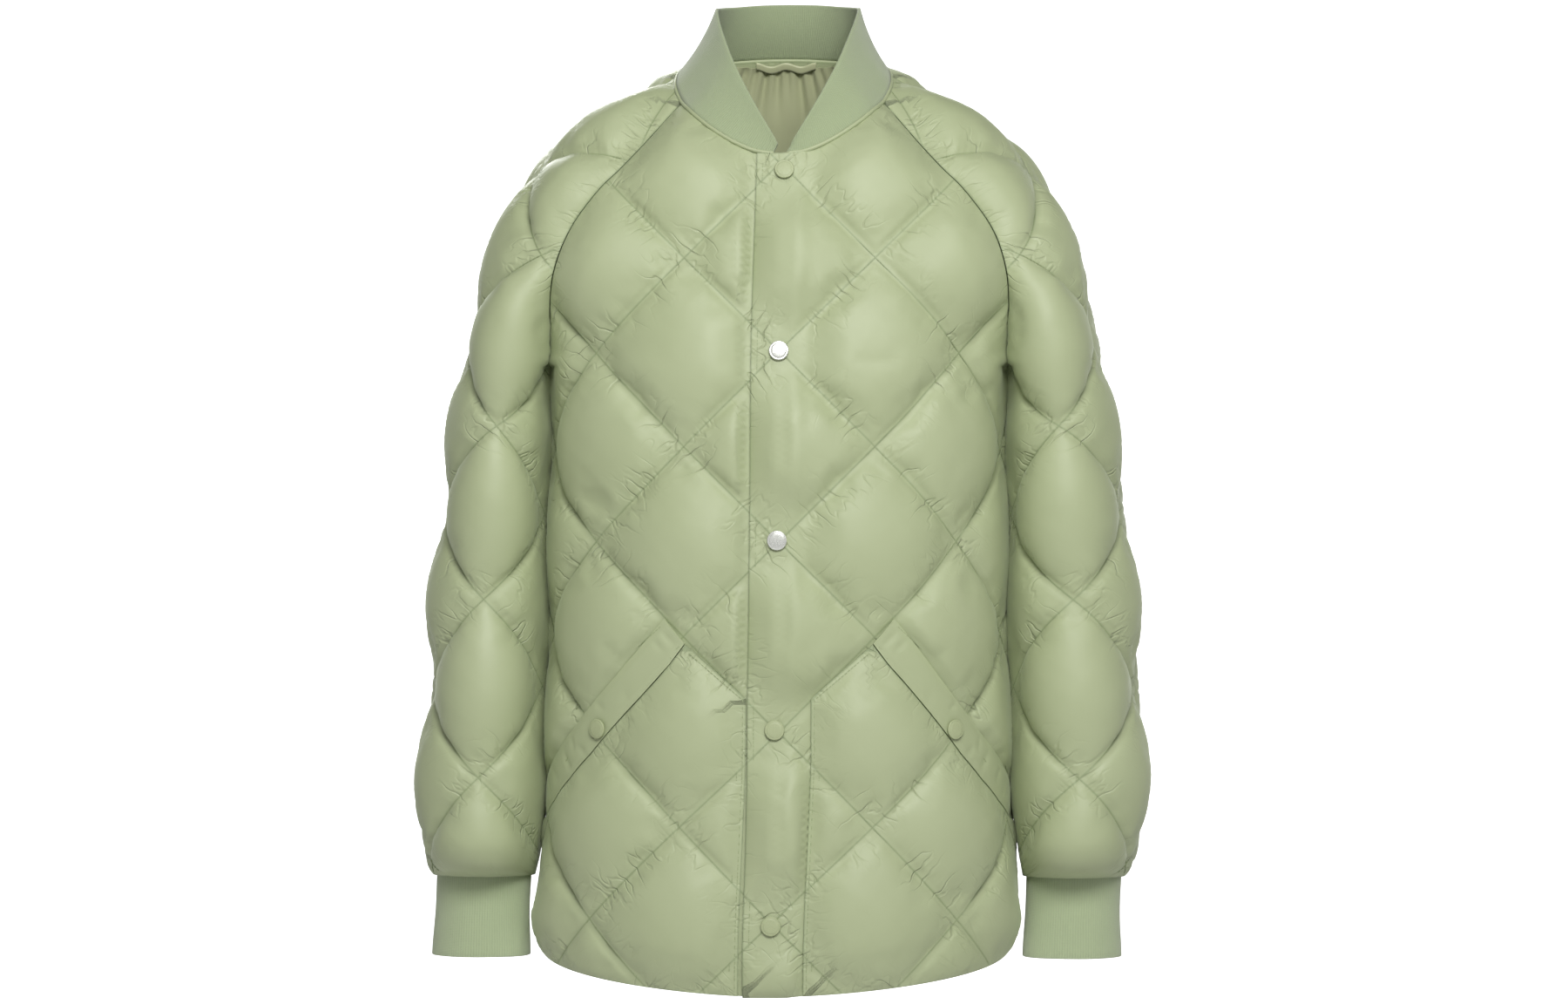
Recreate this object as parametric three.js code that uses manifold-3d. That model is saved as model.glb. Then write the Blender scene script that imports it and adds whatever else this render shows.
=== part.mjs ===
// A quilted, filled jacket with raglan sleeves, a rib-knit collar and rib-knit cuffs, on no wearer.
// Millimetres, +Z up. The front faces -Y and the wearer's left side is at +X.
// The origin is the middle of the neck opening, about level with the back neck seam.
// Each piece is cut flat from quilted cloth, as a maker cuts it, and then laid on the garment's form.
// "across" and "up" are a piece's flat coordinates, measured in millimetres along the cloth.

import * as THREE from "three";
import { mergeVertices } from "three/addons/utils/BufferGeometryUtils.js";
import Module from "manifold-3d";

const wasm = await Module();
wasm.setup();

// Cloth and quilting
const WALL = 2; // shell, filling and lining, pressed together at a stitch line
const SEAM = 0.25; // half of the gap between two pieces at a seam
const UNDERARM_SEAM = 1.4; // added to it at the underarm, where four pieces meet
const UNDERARM_SEAM_REACH = 50;
const PUFF = 15; // how far the filling lifts the middle of a diamond
const DIAMOND_HALF_WIDTH = 80;
const DIAMOND_HALF_HEIGHT = 79;
const SLEEVE_DIAMOND_HALF_HEIGHT = 76;
const SEAM_FADE = 34; // the filling thins out this near a seam
const ROUNDNESS = 2.4; // exponent of the body's rounded cross section

// Front closing: the wearer's left front lies over the right one
const FLAP_EDGE = -23; // where the flap's edge is, across from the centre front
const UNDERLAP_EDGE = 2; // how far the right front reaches under it
const FLAP_LIFT = 3.2;
const FLAP_FLAT = 12; // the flap is fully lifted up to here, and comes down to the body at FLAP_DOWN
const FLAP_DOWN = 26;

// Snaps, on the crossings of the quilting
const SNAP_RADIUS = 8.25;
const SNAP_HEIGHT = 2.6;
const SNAP_CLEARANCE = 1.5; // the rim stands this far off the cloth, and the shank reaches down to it
const SNAP_SHANK = 1.1;
const SNAP_REACH = 60; // the filling is held down out to here from a snap
const SNAP_HEIGHTS = [-107, -259, -416, -573, -735];
const POCKET_SNAP = { across: 154, up: -574 };

// Patch pockets and their welts
const POCKET_LIFT = 3;
const WELT_LIFT = 2.8;
const WELT_THICKNESS = 2.4;

// Underarm, where the raglan seams and the side seams meet
const UNDERARM_Z = -268;
const UNDERARM_HALF_WIDTH = 195;
const SIDE_PUFF = 7; // filling where the sleeve and the body's side press on each other
const SLEEVE_SIDE_PUFF = 5.5;
const SLEEVE_END_Z = -755; // below this the body's side is free of the sleeve
const UNDERARM_PRESS = 2.4; // how far body and sleeve push each other in just beside the underarm
const UNDERARM_REACH = 75;
const UNDERARM_SEAM_SHARE = 0.7;

// The garment hangs a little to the wearer's right low down, and its closing wanders.
const SWAY_ROWS = [
  { z: -800, x: -7 },
  { z: -740, x: -6 },
  { z: -660, x: -2.5 },
  { z: -590, x: 0 },
  { z: 60, x: 0 },
];
// Where the sleeves press on the body's sides, both sides stand a little to the wearer's right.
const SIDE_LEAN_ROWS = [
  { z: -700, x: 0 },
  { z: -590, x: -4.5 },
  { z: -300, x: -4.5 },
  { z: -160, x: 0 },
];
// Distances from the centre between which the lean grows, and then fades out across the sleeve
const SIDE_LEAN = { start: 100, full: 180, fade: 200, end: 300 };
const CLOSING_ROWS = [
  { z: -800, x: 0 },
  { z: -700, x: -0.5 },
  { z: -582, x: -2.5 },
  { z: -417, x: -1 },
  { z: -254, x: 0 },
  { z: -99, x: 3.5 },
  { z: -60, x: 4 },
];

// Body form: depth in front of and behind the side seams, and half width, row by row from the hem up
const BODY_ROWS = [
  { z: -805, front: 150, back: 146, half: 199 },
  { z: -640, front: 149, back: 143, half: 196 },
  { z: -520, front: 148, back: 140, half: 193 },
  { z: -420, front: 147, back: 140, half: 192 },
  { z: -330, front: 144, back: 141, half: 191 },
  { z: -292, front: 142, back: 141, half: 192 },
  { z: UNDERARM_Z, front: 139, back: 140, half: UNDERARM_HALF_WIDTH },
  { z: -220, front: 132, back: 136, half: UNDERARM_HALF_WIDTH },
  { z: -160, front: 119, back: 127, half: UNDERARM_HALF_WIDTH },
  { z: -120, front: 108, back: 117, half: UNDERARM_HALF_WIDTH },
  { z: -84, front: 96, back: 105, half: UNDERARM_HALF_WIDTH },
  { z: -40, front: 80, back: 87, half: UNDERARM_HALF_WIDTH },
  { z: 5, front: 66, back: 66, half: UNDERARM_HALF_WIDTH },
];

// Sleeve form, from the neck to the cuff. A section is an ellipse about its own centre, of which an
// arc of "angle" degrees to each side of the overarm seam is cloth. outX, outZ is the overarm seam and
// inX, inZ the middle of the arc's two ends, which is the inner side once the sleeve is a full tube.
// depth is the ellipse's half depth, leanX and leanZ tilt it, and y is its middle.
const SLEEVE_ROWS = [
  { outX: 90, outZ: -17, inX: 80, inZ: -24, depth: 54, leanX: -6, leanZ: 22, y: 3, angle: 60 },
  { outX: 134, outZ: -40, inX: 112, inZ: -66, depth: 83, leanX: -4, leanZ: 16, y: 3, angle: 60 },
  { outX: 166, outZ: -58, inX: 133, inZ: -91, depth: 95, leanX: -2, leanZ: 12, y: 3, angle: 62 },
  { outX: 203, outZ: -89, inX: 155, inZ: -114, depth: 98, leanX: 0, leanZ: 9, y: 3, angle: 66 },
  { outX: 228, outZ: -128, inX: 177, inZ: -147, depth: 94, leanX: 0, leanZ: 6, y: 2, angle: 78 },
  { outX: 247, outZ: -179, inX: 190, inZ: -183, depth: 92, leanX: 0, leanZ: 4, y: 1, angle: 99 },
  { outX: 256, outZ: -212, inX: 194, inZ: -216, depth: 91, leanX: 0, leanZ: 2, y: 0, angle: 124 },
  { outX: 261, outZ: -235, inX: 194.5, inZ: -247, depth: 90, leanX: 0, leanZ: 1, y: 0, angle: 152 },
  { outX: 265, outZ: -253, inX: 195, inZ: -268, depth: 90, leanX: 0, leanZ: 0, y: 0, angle: 180 },
  { outX: 268, outZ: -276, inX: 199, inZ: -290, depth: 90, leanX: 0, leanZ: 0, y: 0, angle: 180 },
  { outX: 274, outZ: -304, inX: 200, inZ: -316, depth: 89, leanX: 0, leanZ: 0, y: 0, angle: 180 },
  { outX: 281, outZ: -345, inX: 200, inZ: -352, depth: 88, leanX: 0, leanZ: 0, y: 0, angle: 180 },
  { outX: 287, outZ: -396, inX: 200, inZ: -400, depth: 86, leanX: 0, leanZ: 0, y: 0, angle: 180 },
  { outX: 296, outZ: -470, inX: 201, inZ: -472, depth: 84, leanX: 0, leanZ: 0, y: -1, angle: 180 },
  { outX: 298, outZ: -535, inX: 202, inZ: -535, depth: 82, leanX: 0, leanZ: 0, y: -3, angle: 180 },
  { outX: 305, outZ: -615, inX: 204, inZ: -615, depth: 80, leanX: 0, leanZ: 0, y: -5, angle: 180 },
  { outX: 304, outZ: -655, inX: 205, inZ: -655, depth: 78, leanX: 0, leanZ: 0, y: -6, angle: 180 },
  { outX: 302, outZ: -682, inX: 206, inZ: -682, depth: 70, leanX: 0, leanZ: 0, y: -7, angle: 180 },
  { outX: 300, outZ: -697, inX: 208, inZ: -697, depth: 52, leanX: 0, leanZ: 0, y: -7, angle: 180 },
  { outX: 297.6, outZ: -704, inX: 209.4, inZ: -704, depth: 36, leanX: 0, leanZ: 0, y: -7, angle: 180 },
];
const UNDERARM_ROW = 8;

// Rib-knit cuff
const CUFF = { x: 253.5, y: -7, topZ: -696, bottomZ: -772, topHalf: 40.6, topDepth: 31 };
const CUFF_BOTTOM = { half: 42.5, depth: 29 };
const RIB_THICKNESS = 2.6;

// Neck seam, seen from the front: height at each distance from the centre
const FRONT_NECK = [
  { x: 0, z: -92 },
  { x: 20, z: -89.5 },
  { x: 40, z: -81 },
  { x: 60, z: -68 },
  { x: 75, z: -55 },
  { x: 85.2, z: -43 },
];
const BACK_NECK_Z = 2;
const RAGLAN_TOP = 1; // along the overarm seam, where the raglan seams start, just below the neck seam
const COLLAR_START_X = 5;

// Free edge of the collar, by share of the way from the centre front to the centre back
const COLLAR_EDGE = [
  { share: 0, x: 5.5, y: -98, z: -84 },
  { share: 0.1, x: 21, y: -91, z: -58 },
  { share: 0.2, x: 32.5, y: -81, z: -37 },
  { share: 0.3, x: 43.5, y: -67, z: -14 },
  { share: 0.38, x: 50.5, y: -53, z: 4 },
  { share: 0.46, x: 56.5, y: -33, z: 22 },
  { share: 0.56, x: 60, y: -8, z: 37 },
  { share: 0.66, x: 58, y: 18, z: 41 },
  { share: 0.77, x: 46, y: 38, z: 44 },
  { share: 0.88, x: 25, y: 50, z: 47 },
  { share: 1, x: 0, y: 54, z: 48 },
];
const COLLAR_BULGE = 3;
const COLLAR_LEAN = 3.5; // the free edge leans to the wearer's left by this much

// Hem: height at the centre front, at the side seams and at the centre back
const HEM_FRONT_Z = -795;
const HEM_SIDE_Z = -762;
const HEM_BACK_Z = -790;
const HEM_CURVE = 1.6;

// Pocket welt: its two edges, as flat places on the front, from its top end to the side seam
const WELT_ROWS = [
  { inner: { across: 78, up: -502 }, outer: { across: 96, up: -481 } },
  { inner: { across: 91, up: -519 }, outer: { across: 115, up: -503 } },
  { inner: { across: 116, up: -546 }, outer: { across: 138, up: -529 } },
  { inner: { across: 140, up: -571 }, outer: { across: 162, up: -554 } },
  { inner: { across: 163, up: -595 }, outer: { across: 184, up: -575 } },
  { inner: { across: 189, up: -617 }, outer: { across: 208, up: -593 } },
  { inner: { across: 218, up: -637 }, outer: { across: 234, up: -610 } },
  { inner: { across: 249, up: -652 }, outer: { across: 261, up: -623 } },
];
const POCKET_FRONT_EDGE = 27;
const POCKET_CORNER_Z = -547;
const POCKET_SIDE_MARGIN = 3;
const WELT_MARGIN = 14; // the front's filling starts this far outside the welt

// Lining that shows in the neck opening, and the hanger loop at the back neck
const LINING = { half: 96, bottomZ: -240, top: 7, gap: 3.2, thickness: 1 };
const LOOP = { half: 27, drop: 5, width: 6, thickness: 1.2, wave: 3, gap: 0.5 };

// Fineness of the faceted solids
const BODY_STEPS = 3; // facets along each side of half a diamond
const SLEEVE_STEPS = 4;
const OUTLINE_STEP = 22;
const RAGLAN_SAMPLES = 34;
const ARC_SAMPLES = 60;

const cloth = new THREE.MeshStandardMaterial({ color: "#a9b58c", roughness: 0.42, metalness: 0 });
const ribKnit = new THREE.MeshStandardMaterial({ color: "#9fb28e", roughness: 0.85, metalness: 0 });
const liningCloth = new THREE.MeshStandardMaterial({ color: "#9a9577", roughness: 0.5, metalness: 0 });
const snapMetal = new THREE.MeshStandardMaterial({ color: "#a3b088", roughness: 0.3, metalness: 0.2 });

const clamp01 = (t) => Math.min(1, Math.max(0, t));
const ease = (t) => clamp01(t) ** 2 * (3 - 2 * clamp01(t));
const vec = (x, y, z) => new THREE.Vector3(x, y, z);

// A smooth value of one column of a table at a place along another, increasing, column.
function read(table, key, column, at) {
  const last = table.length - 1;
  if (at <= table[0][key]) return table[0][column];
  if (at >= table[last][key]) return table[last][column];
  let i = 0;
  while (table[i + 1][key] < at) i += 1;
  const slope = (j) => {
    const a = table[Math.max(0, j - 1)];
    const b = table[Math.min(last, j + 1)];
    return (b[column] - a[column]) / (b[key] - a[key]);
  };
  const [p, q] = [table[i], table[i + 1]];
  const width = q[key] - p[key];
  const t = (at - p[key]) / width;
  const straight = p[column] + (q[column] - p[column]) * t;
  const bendP = slope(i) * width - (q[column] - p[column]);
  const bendQ = slope(i + 1) * width - (q[column] - p[column]);
  return straight + t * (1 - t) * (bendP * (1 - t) - bendQ * t);
}

// Sleeve sections, keyed by the cloth's length down the overarm seam
const sleeveRows = SLEEVE_ROWS.map((row) => ({ ...row }));
sleeveRows.forEach((row, i) => {
  const before = sleeveRows[i - 1];
  row.down = i ? before.down + Math.hypot(row.outX - before.outX, row.outZ - before.outZ) : 0;
});
const UNDERARM_DOWN = sleeveRows[UNDERARM_ROW].down;
const SLEEVE_LENGTH = sleeveRows[sleeveRows.length - 1].down;

// One section of the left sleeve: its centre, its two half axes and its cloth's half angle.
function sleeveSection(down) {
  const at = (column) => read(sleeveRows, "down", column, down);
  const angle = THREE.MathUtils.degToRad(down >= UNDERARM_DOWN ? 180 : Math.min(180, at("angle")));
  const out = vec(at("outX"), at("y"), at("outZ"));
  const inner = vec(at("inX"), at("y"), at("inZ"));
  const outward = out.clone().sub(inner).divideScalar(1 - Math.cos(angle));
  const centre = out.clone().sub(outward);
  const back = vec(at("leanX"), at("depth"), at("leanZ"));
  return { angle, centre, outward, back };
}

// A point of a section, by angle round from the overarm seam, positive to the back.
function sectionPoint({ centre, outward, back }, angle) {
  return centre
    .clone()
    .addScaledVector(outward, Math.cos(angle))
    .addScaledVector(back, Math.sin(angle));
}

// Lengths along a curve at evenly spaced values of its parameter.
function measure(curve, from, to) {
  const rows = [{ length: 0, value: from }];
  let before = curve(from);
  for (let i = 1; i <= ARC_SAMPLES; i += 1) {
    const value = from + ((to - from) * i) / ARC_SAMPLES;
    const point = curve(value);
    rows.push({ length: rows[i - 1].length + point.distanceTo(before), value });
    before = point;
  }
  return rows;
}

const remembered = new Map();
function once(key, make) {
  if (!remembered.has(key)) remembered.set(key, make());
  return remembered.get(key);
}

// The cloth's width from the overarm seam to its front (-1) or back (+1) edge, with the arc's table.
function sleeveArc(down, side) {
  return once(`sleeve ${down} ${side}`, () => {
    const section = sleeveSection(down);
    return { section, rows: measure((a) => sectionPoint(section, a), 0, side * section.angle) };
  });
}
const sleeveWidth = (down, side) => sleeveArc(down, side).rows[ARC_SAMPLES].length;

// The left sleeve's surface at stitch level: across from the overarm seam, positive to the back.
function sleevePoint(across, up) {
  const side = across < 0 ? -1 : 1;
  const { section, rows } = sleeveArc(-up, side);
  return sectionPoint(section, read(rows, "length", "value", Math.abs(across)));
}

// The raglan seam on the front (-1) or the back (+1), from the underarm up, keyed by height.
function raglanRows(side) {
  const rows = [];
  const count = 80;
  for (let i = count; i >= 0; i -= 1) {
    const down = (UNDERARM_DOWN * i) / count;
    const section = sleeveSection(down);
    const point = sectionPoint(section, side * section.angle);
    const { x, y, z } = point;
    if (!rows.length || z > rows[rows.length - 1].z) rows.push({ x, y: side * y, z, down });
  }
  return rows;
}
const raglan = { [-1]: raglanRows(-1), 1: raglanRows(1) };

// One row of the body: a rounded section, from the centre line to the side or raglan seam.
function bodyRow(z, side) {
  return once(`body ${z} ${side}`, () => {
    const depth = read(BODY_ROWS, "z", side < 0 ? "front" : "back", z);
    let half = read(BODY_ROWS, "z", "half", z);
    let end = 1;
    if (z > UNDERARM_Z) {
      const edgeX = read(raglan[side], "z", "x", z);
      const edgeY = Math.max(0, read(raglan[side], "z", "y", z));
      const depthShare = Math.min(0.97, edgeY / depth) ** ROUNDNESS;
      half = edgeX / (1 - depthShare) ** (1 / ROUNDNESS);
      end = Math.atan2((1 - depthShare) ** 0.5, depthShare ** 0.5) / (Math.PI / 2);
    }
    const point = (turn) => {
      const angle = (turn * Math.PI) / 2;
      const x = half * Math.abs(Math.sin(angle)) ** (2 / ROUNDNESS);
      return vec(x, side * depth * Math.abs(Math.cos(angle)) ** (2 / ROUNDNESS), z);
    };
    return { point, rows: measure(point, 0, end) };
  });
}
const bodyWidth = (z, side) => bodyRow(z, side).rows[ARC_SAMPLES].length;

function swayAt(x, z) {
  const { start, full, fade, end } = SIDE_LEAN;
  const share = ease((Math.abs(x) - start) / (full - start)) * (1 - ease((Math.abs(x) - fade) / (end - fade)));
  return read(SWAY_ROWS, "z", "x", z) + read(SIDE_LEAN_ROWS, "z", "x", z) * share;
}
const closingAt = (z) => read(CLOSING_ROWS, "z", "x", z);

// The body's surface at stitch level. On the front, across is positive to the wearer's left.
function frontPoint(across, up) {
  const { point, rows } = bodyRow(up, -1);
  const found = point(read(rows, "length", "value", Math.abs(across)));
  return across < 0 ? vec(-found.x, found.y, found.z) : found;
}

// On the back, across is positive to the wearer's right, so that up and across still face outwards.
function backPoint(across, up) {
  const { point, rows } = bodyRow(up, 1);
  const found = point(read(rows, "length", "value", Math.abs(across)));
  return across > 0 ? vec(-found.x, found.y, found.z) : found;
}

// How far across the cloth a place at this x and height is.
function acrossAt(x, z, side) {
  const { point, rows } = bodyRow(z, side);
  const places = rows.map(({ length, value }) => ({ x: point(value).x, length }));
  return read(places, "x", "length", x);
}

// The outward direction of a surface at a flat place.
function outwardOf(surface, across, up) {
  const step = 1.5;
  const alongAcross = surface(across + step, up).sub(surface(across - step, up));
  const alongUp = surface(across, up + step).sub(surface(across, up - step));
  return alongAcross.cross(alongUp).normalize();
}

// Distance from a flat place to an outline.
function distanceTo(outline, across, up) {
  let nearest = Infinity;
  outline.forEach((a, i) => {
    const b = outline[(i + 1) % outline.length];
    const [dx, dy] = [b.across - a.across, b.up - a.up];
    const t = clamp01(((across - a.across) * dx + (up - a.up) * dy) / (dx * dx + dy * dy || 1));
    nearest = Math.min(nearest, Math.hypot(across - a.across - t * dx, up - a.up - t * dy));
  });
  return nearest;
}

function inside(outline, across, up) {
  let odd = false;
  outline.forEach((a, i) => {
    const b = outline[(i + 1) % outline.length];
    const crosses = a.up > up !== b.up > up;
    if (crosses && across < a.across + ((up - a.up) * (b.across - a.across)) / (b.up - a.up)) odd = !odd;
  });
  return odd;
}

// Height of a quilted diamond between its stitch lines, from 0 to 1.
function diamond(across, up, quilt) {
  const p = (across - quilt.across) / quilt.halfWidth;
  const q = (up - quilt.up) / quilt.halfHeight;
  const rise = Math.sin((Math.PI * (p + q)) / 2) * Math.sin((Math.PI * (p - q)) / 2);
  return Math.sqrt(Math.abs(rise));
}

// The filling also thins out towards a seam or a stitched-down edge.
const thinning = (distance) => Math.min(1, Math.max(0, distance) / SEAM_FADE) ** 0.6;

const bodyQuilt = {
  across: 0,
  up: SNAP_HEIGHTS[1],
  halfWidth: DIAMOND_HALF_WIDTH,
  halfHeight: DIAMOND_HALF_HEIGHT,
  steps: BODY_STEPS,
};
const sleeveQuilt = {
  across: -25,
  up: -298,
  halfWidth: DIAMOND_HALF_WIDTH,
  halfHeight: SLEEVE_DIAMOND_HALF_HEIGHT,
  steps: SLEEVE_STEPS,
};

// A closed solid from a manifold-3d solid or from loose triangles.
function toManifold(geometry) {
  const bare = geometry.index ? geometry.toNonIndexed() : geometry.clone();
  bare.deleteAttribute("normal");
  bare.deleteAttribute("uv");
  const merged = mergeVertices(bare, 1e-4);
  return new wasm.Manifold(
    new wasm.Mesh({
      numProp: 3,
      vertProperties: new Float32Array(merged.attributes.position.array),
      triVerts: new Uint32Array(merged.index.array),
    }),
  );
}

function geometryOf(triangles) {
  const positions = new Float32Array(triangles.flatMap((corner) => [corner.x, corner.y, corner.z]));
  const geometry = new THREE.BufferGeometry();
  geometry.setAttribute("position", new THREE.BufferAttribute(positions, 3));
  geometry.computeVertexNormals();
  return geometry;
}

const BOWL = 1e-3; // flat cloth is held in a shallow bowl while it is cut, so that no facets merge
const BLANK_HEIGHT = 10;
const bowl = (across, up, middle) =>
  BOWL * ((across - middle.across) ** 2 + (up - middle.up) ** 2 + (across - middle.across) * (up - middle.up));

// A rectangular blank of cloth, with facets that run along the quilting lines on its outer face.
// The plain inner face has one facet for each "tall" facets of the outer face's height.
function blank(quilt, low, high, middle, tall) {
  const fine = { across: quilt.halfWidth / quilt.steps, up: quilt.halfHeight / quilt.steps };
  const first = {
    i: Math.floor((low.across - quilt.across) / fine.across) - 2,
    j: 2 * Math.floor((low.up - quilt.up) / fine.up / 2) - 2,
  };
  const last = {
    i: Math.ceil((high.across - quilt.across) / fine.across) + 2,
    j: 2 * Math.ceil((high.up - quilt.up) / fine.up / 2) + 2,
  };
  const corner = (i, j, height) => {
    const across = quilt.across + i * fine.across;
    const up = quilt.up + j * fine.up;
    return vec(across, up, bowl(across, up, middle) + height);
  };
  const period = 2 * quilt.steps;
  const nearLine = (k) => Math.min(((k % period) + period) % period, ((-k % period) + period) % period);
  const triangles = [];
  const layFace = (i, j, tallness, height) => {
    const [a, b] = [corner(i, j, height), corner(i + 1, j, height)];
    const [c, d] = [corner(i + 1, j + tallness, height), corner(i, j + tallness, height)];
    const rising = nearLine(i - j) < nearLine(i + j + 1);
    const face = rising ? [a, b, c, a, c, d] : [a, b, d, b, c, d];
    triangles.push(...(height ? face : face.reverse()));
  };
  for (let i = first.i; i < last.i; i += 1) {
    for (let j = first.j; j < last.j; j += 1) layFace(i, j, 1, BLANK_HEIGHT);
    for (let j = first.j; j < last.j; j += tall) layFace(i, j, tall, 0);
  }
  const side = (l0, l1, uppers) => {
    const [u0, u1] = [uppers[0], uppers[uppers.length - 1]];
    triangles.push(l0, l1, u1, l0, u1, uppers[uppers.length - 2]);
    if (uppers.length > 2) triangles.push(l0, uppers[1], u0);
  };
  for (let i = first.i; i < last.i; i += 1) {
    side(corner(i, first.j, 0), corner(i + 1, first.j, 0), [
      corner(i, first.j, BLANK_HEIGHT),
      corner(i + 1, first.j, BLANK_HEIGHT),
    ]);
    side(corner(i + 1, last.j, 0), corner(i, last.j, 0), [
      corner(i + 1, last.j, BLANK_HEIGHT),
      corner(i, last.j, BLANK_HEIGHT),
    ]);
  }
  for (let j = first.j; j < last.j; j += tall) {
    const js = Array.from({ length: tall + 1 }, (_, k) => j + k);
    side(
      corner(last.i, j, 0),
      corner(last.i, j + tall, 0),
      js.map((k) => corner(last.i, k, BLANK_HEIGHT)),
    );
    side(
      corner(first.i, j + tall, 0),
      corner(first.i, j, 0),
      js.reverse().map((k) => corner(first.i, k, BLANK_HEIGHT)),
    );
  }
  return toManifold(geometryOf(triangles));
}

// Cuts a piece out of quilted cloth along its outline and lays it on its surface.
// rise gives how far the outer face stands off the surface, and lift moves the whole wall out.
function cutPiece({ outline, quilt, surface, rise, lift = () => 0, tall = 2, mirrored = false }) {
  const acrosses = outline.map((p) => p.across);
  const ups = outline.map((p) => p.up);
  const low = { across: Math.min(...acrosses), up: Math.min(...ups) };
  const high = { across: Math.max(...acrosses), up: Math.max(...ups) };
  const middle = { across: (low.across + high.across) / 2, up: (low.up + high.up) / 2 };
  const sheet = blank(quilt, low, high, middle, tall);
  const shape = new THREE.Shape(outline.map((p) => new THREE.Vector2(p.across, p.up)));
  const deep = 800;
  const cutter = new THREE.ExtrudeGeometry(shape, { depth: deep, bevelEnabled: false });
  cutter.translate(0, 0, -deep / 4);
  const mesh = toManifold(cutter).intersect(sheet).getMesh();
  const laid = [];
  for (let i = 0; i < mesh.numVert; i += 1) {
    const [across, up, height] = mesh.vertProperties.subarray(i * mesh.numProp, i * mesh.numProp + 3);
    const outer = height - bowl(across, up, middle) > BLANK_HEIGHT / 2;
    const outward = outwardOf(surface, across, up);
    const off = lift(across, up) + (outer ? rise(across, up) : -WALL);
    const point = surface(across, up).addScaledVector(outward, off);
    laid.push(mirrored ? vec(-point.x, point.y, point.z) : point);
  }
  const triangles = [];
  for (let t = 0; t < mesh.triVerts.length; t += 3) {
    const [a, b, c] = [0, 1, 2].map((k) => laid[mesh.triVerts[t + k]]);
    if (mirrored) triangles.push(a, c, b);
    else triangles.push(a, b, c);
  }
  return geometryOf(triangles);
}

// A solid lofted through closed loops of points. It is capped at both ends unless it closes on itself.
function loft(loops, closed = false) {
  const triangles = [];
  const around = loops[0].length;
  const spans = closed ? loops.length : loops.length - 1;
  for (let i = 0; i < spans; i += 1) {
    const [here, next] = [loops[i], loops[(i + 1) % loops.length]];
    for (let k = 0; k < around; k += 1) {
      const m = (k + 1) % around;
      triangles.push(here[k], next[k], next[m], here[k], next[m], here[m]);
    }
  }
  if (!closed) {
    const [start, end] = [loops[0], loops[loops.length - 1]];
    for (let k = 1; k + 1 < around; k += 1) {
      triangles.push(start[0], start[k], start[k + 1]);
      triangles.push(end[0], end[k + 1], end[k]);
    }
  }
  return geometryOf(triangles);
}

// The same solid on the other side of the garment
function mirrorSolid(geometry) {
  const { array } = geometry.attributes.position;
  const corners = Array.from({ length: array.length / 3 }, (_, i) =>
    vec(-array[3 * i], array[3 * i + 1], array[3 * i + 2]),
  );
  return geometryOf(corners.reverse());
}

const jacket = new THREE.Group();
function add(name, geometry, material) {
  const hung = geometry.clone();
  const places = hung.attributes.position;
  for (let i = 0; i < places.count; i += 1) {
    places.setX(i, places.getX(i) + swayAt(places.getX(i), places.getZ(i)));
  }
  const mesh = new THREE.Mesh(hung, material);
  mesh.name = name;
  jacket.add(mesh);
  return mesh;
}

// Flat places along a line that a function gives, from one value to another
function along(from, to, place, step = OUTLINE_STEP) {
  const count = Math.max(1, Math.ceil(Math.abs(to - from) / step));
  return Array.from({ length: count + 1 }, (_, i) => place(from + ((to - from) * i) / count));
}

// How far a piece stays back from the raglan seam at a length down the overarm seam
const seamInset = (down) =>
  2 * SEAM + UNDERARM_SEAM * ease(1 - Math.abs(down - UNDERARM_DOWN) / UNDERARM_SEAM_REACH);

// The raglan seam in the body's flat coordinates, from the underarm up
const raglanDowns = Array.from(
  { length: RAGLAN_SAMPLES + 1 },
  (_, i) => UNDERARM_DOWN + ((RAGLAN_TOP - UNDERARM_DOWN) * i) / RAGLAN_SAMPLES,
);
function raglanOutline(side) {
  return raglanDowns.map((down) => {
    const section = sleeveSection(down);
    const { z } = sectionPoint(section, side * section.angle);
    return { across: bodyWidth(z, side) - seamInset(down), up: z };
  });
}

const hemZ = (share, middleZ) => middleZ + (HEM_SIDE_Z - middleZ) * share ** HEM_CURVE;

// Outline of half of the front, from an edge near the closing out to the side and raglan seams.
// onRight is true for the wearer's right front, which is drawn mirrored.
function frontOutline(edge, onRight) {
  const innerEdge = (z) => edge + (onRight ? -closingAt(z) : closingAt(z));
  const sideAt = (z) => ({ across: bodyWidth(z, -1) - SEAM, up: z });
  const neckAt = (x) => {
    const z = read(FRONT_NECK, "x", "z", Math.max(0, x));
    return { across: x < 0 ? x : acrossAt(x, z, -1), up: z - SEAM };
  };
  const hemWidth = bodyWidth(HEM_SIDE_Z, -1) - SEAM;
  return [
    ...along(innerEdge(HEM_FRONT_Z), hemWidth, (across) => ({
      across,
      up: hemZ(Math.max(0, across) / hemWidth, HEM_FRONT_Z),
    })),
    ...along(HEM_SIDE_Z, UNDERARM_Z, sideAt, 20).slice(1, -1),
    ...raglanOutline(-1),
    ...along(FRONT_NECK[FRONT_NECK.length - 1].x - 2, innerEdge(FRONT_NECK[0].z), neckAt, 12),
    ...along(FRONT_NECK[0].z, HEM_FRONT_Z, (z) => ({ across: innerEdge(z), up: z }), 60).slice(1, -1),
  ];
}

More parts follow.
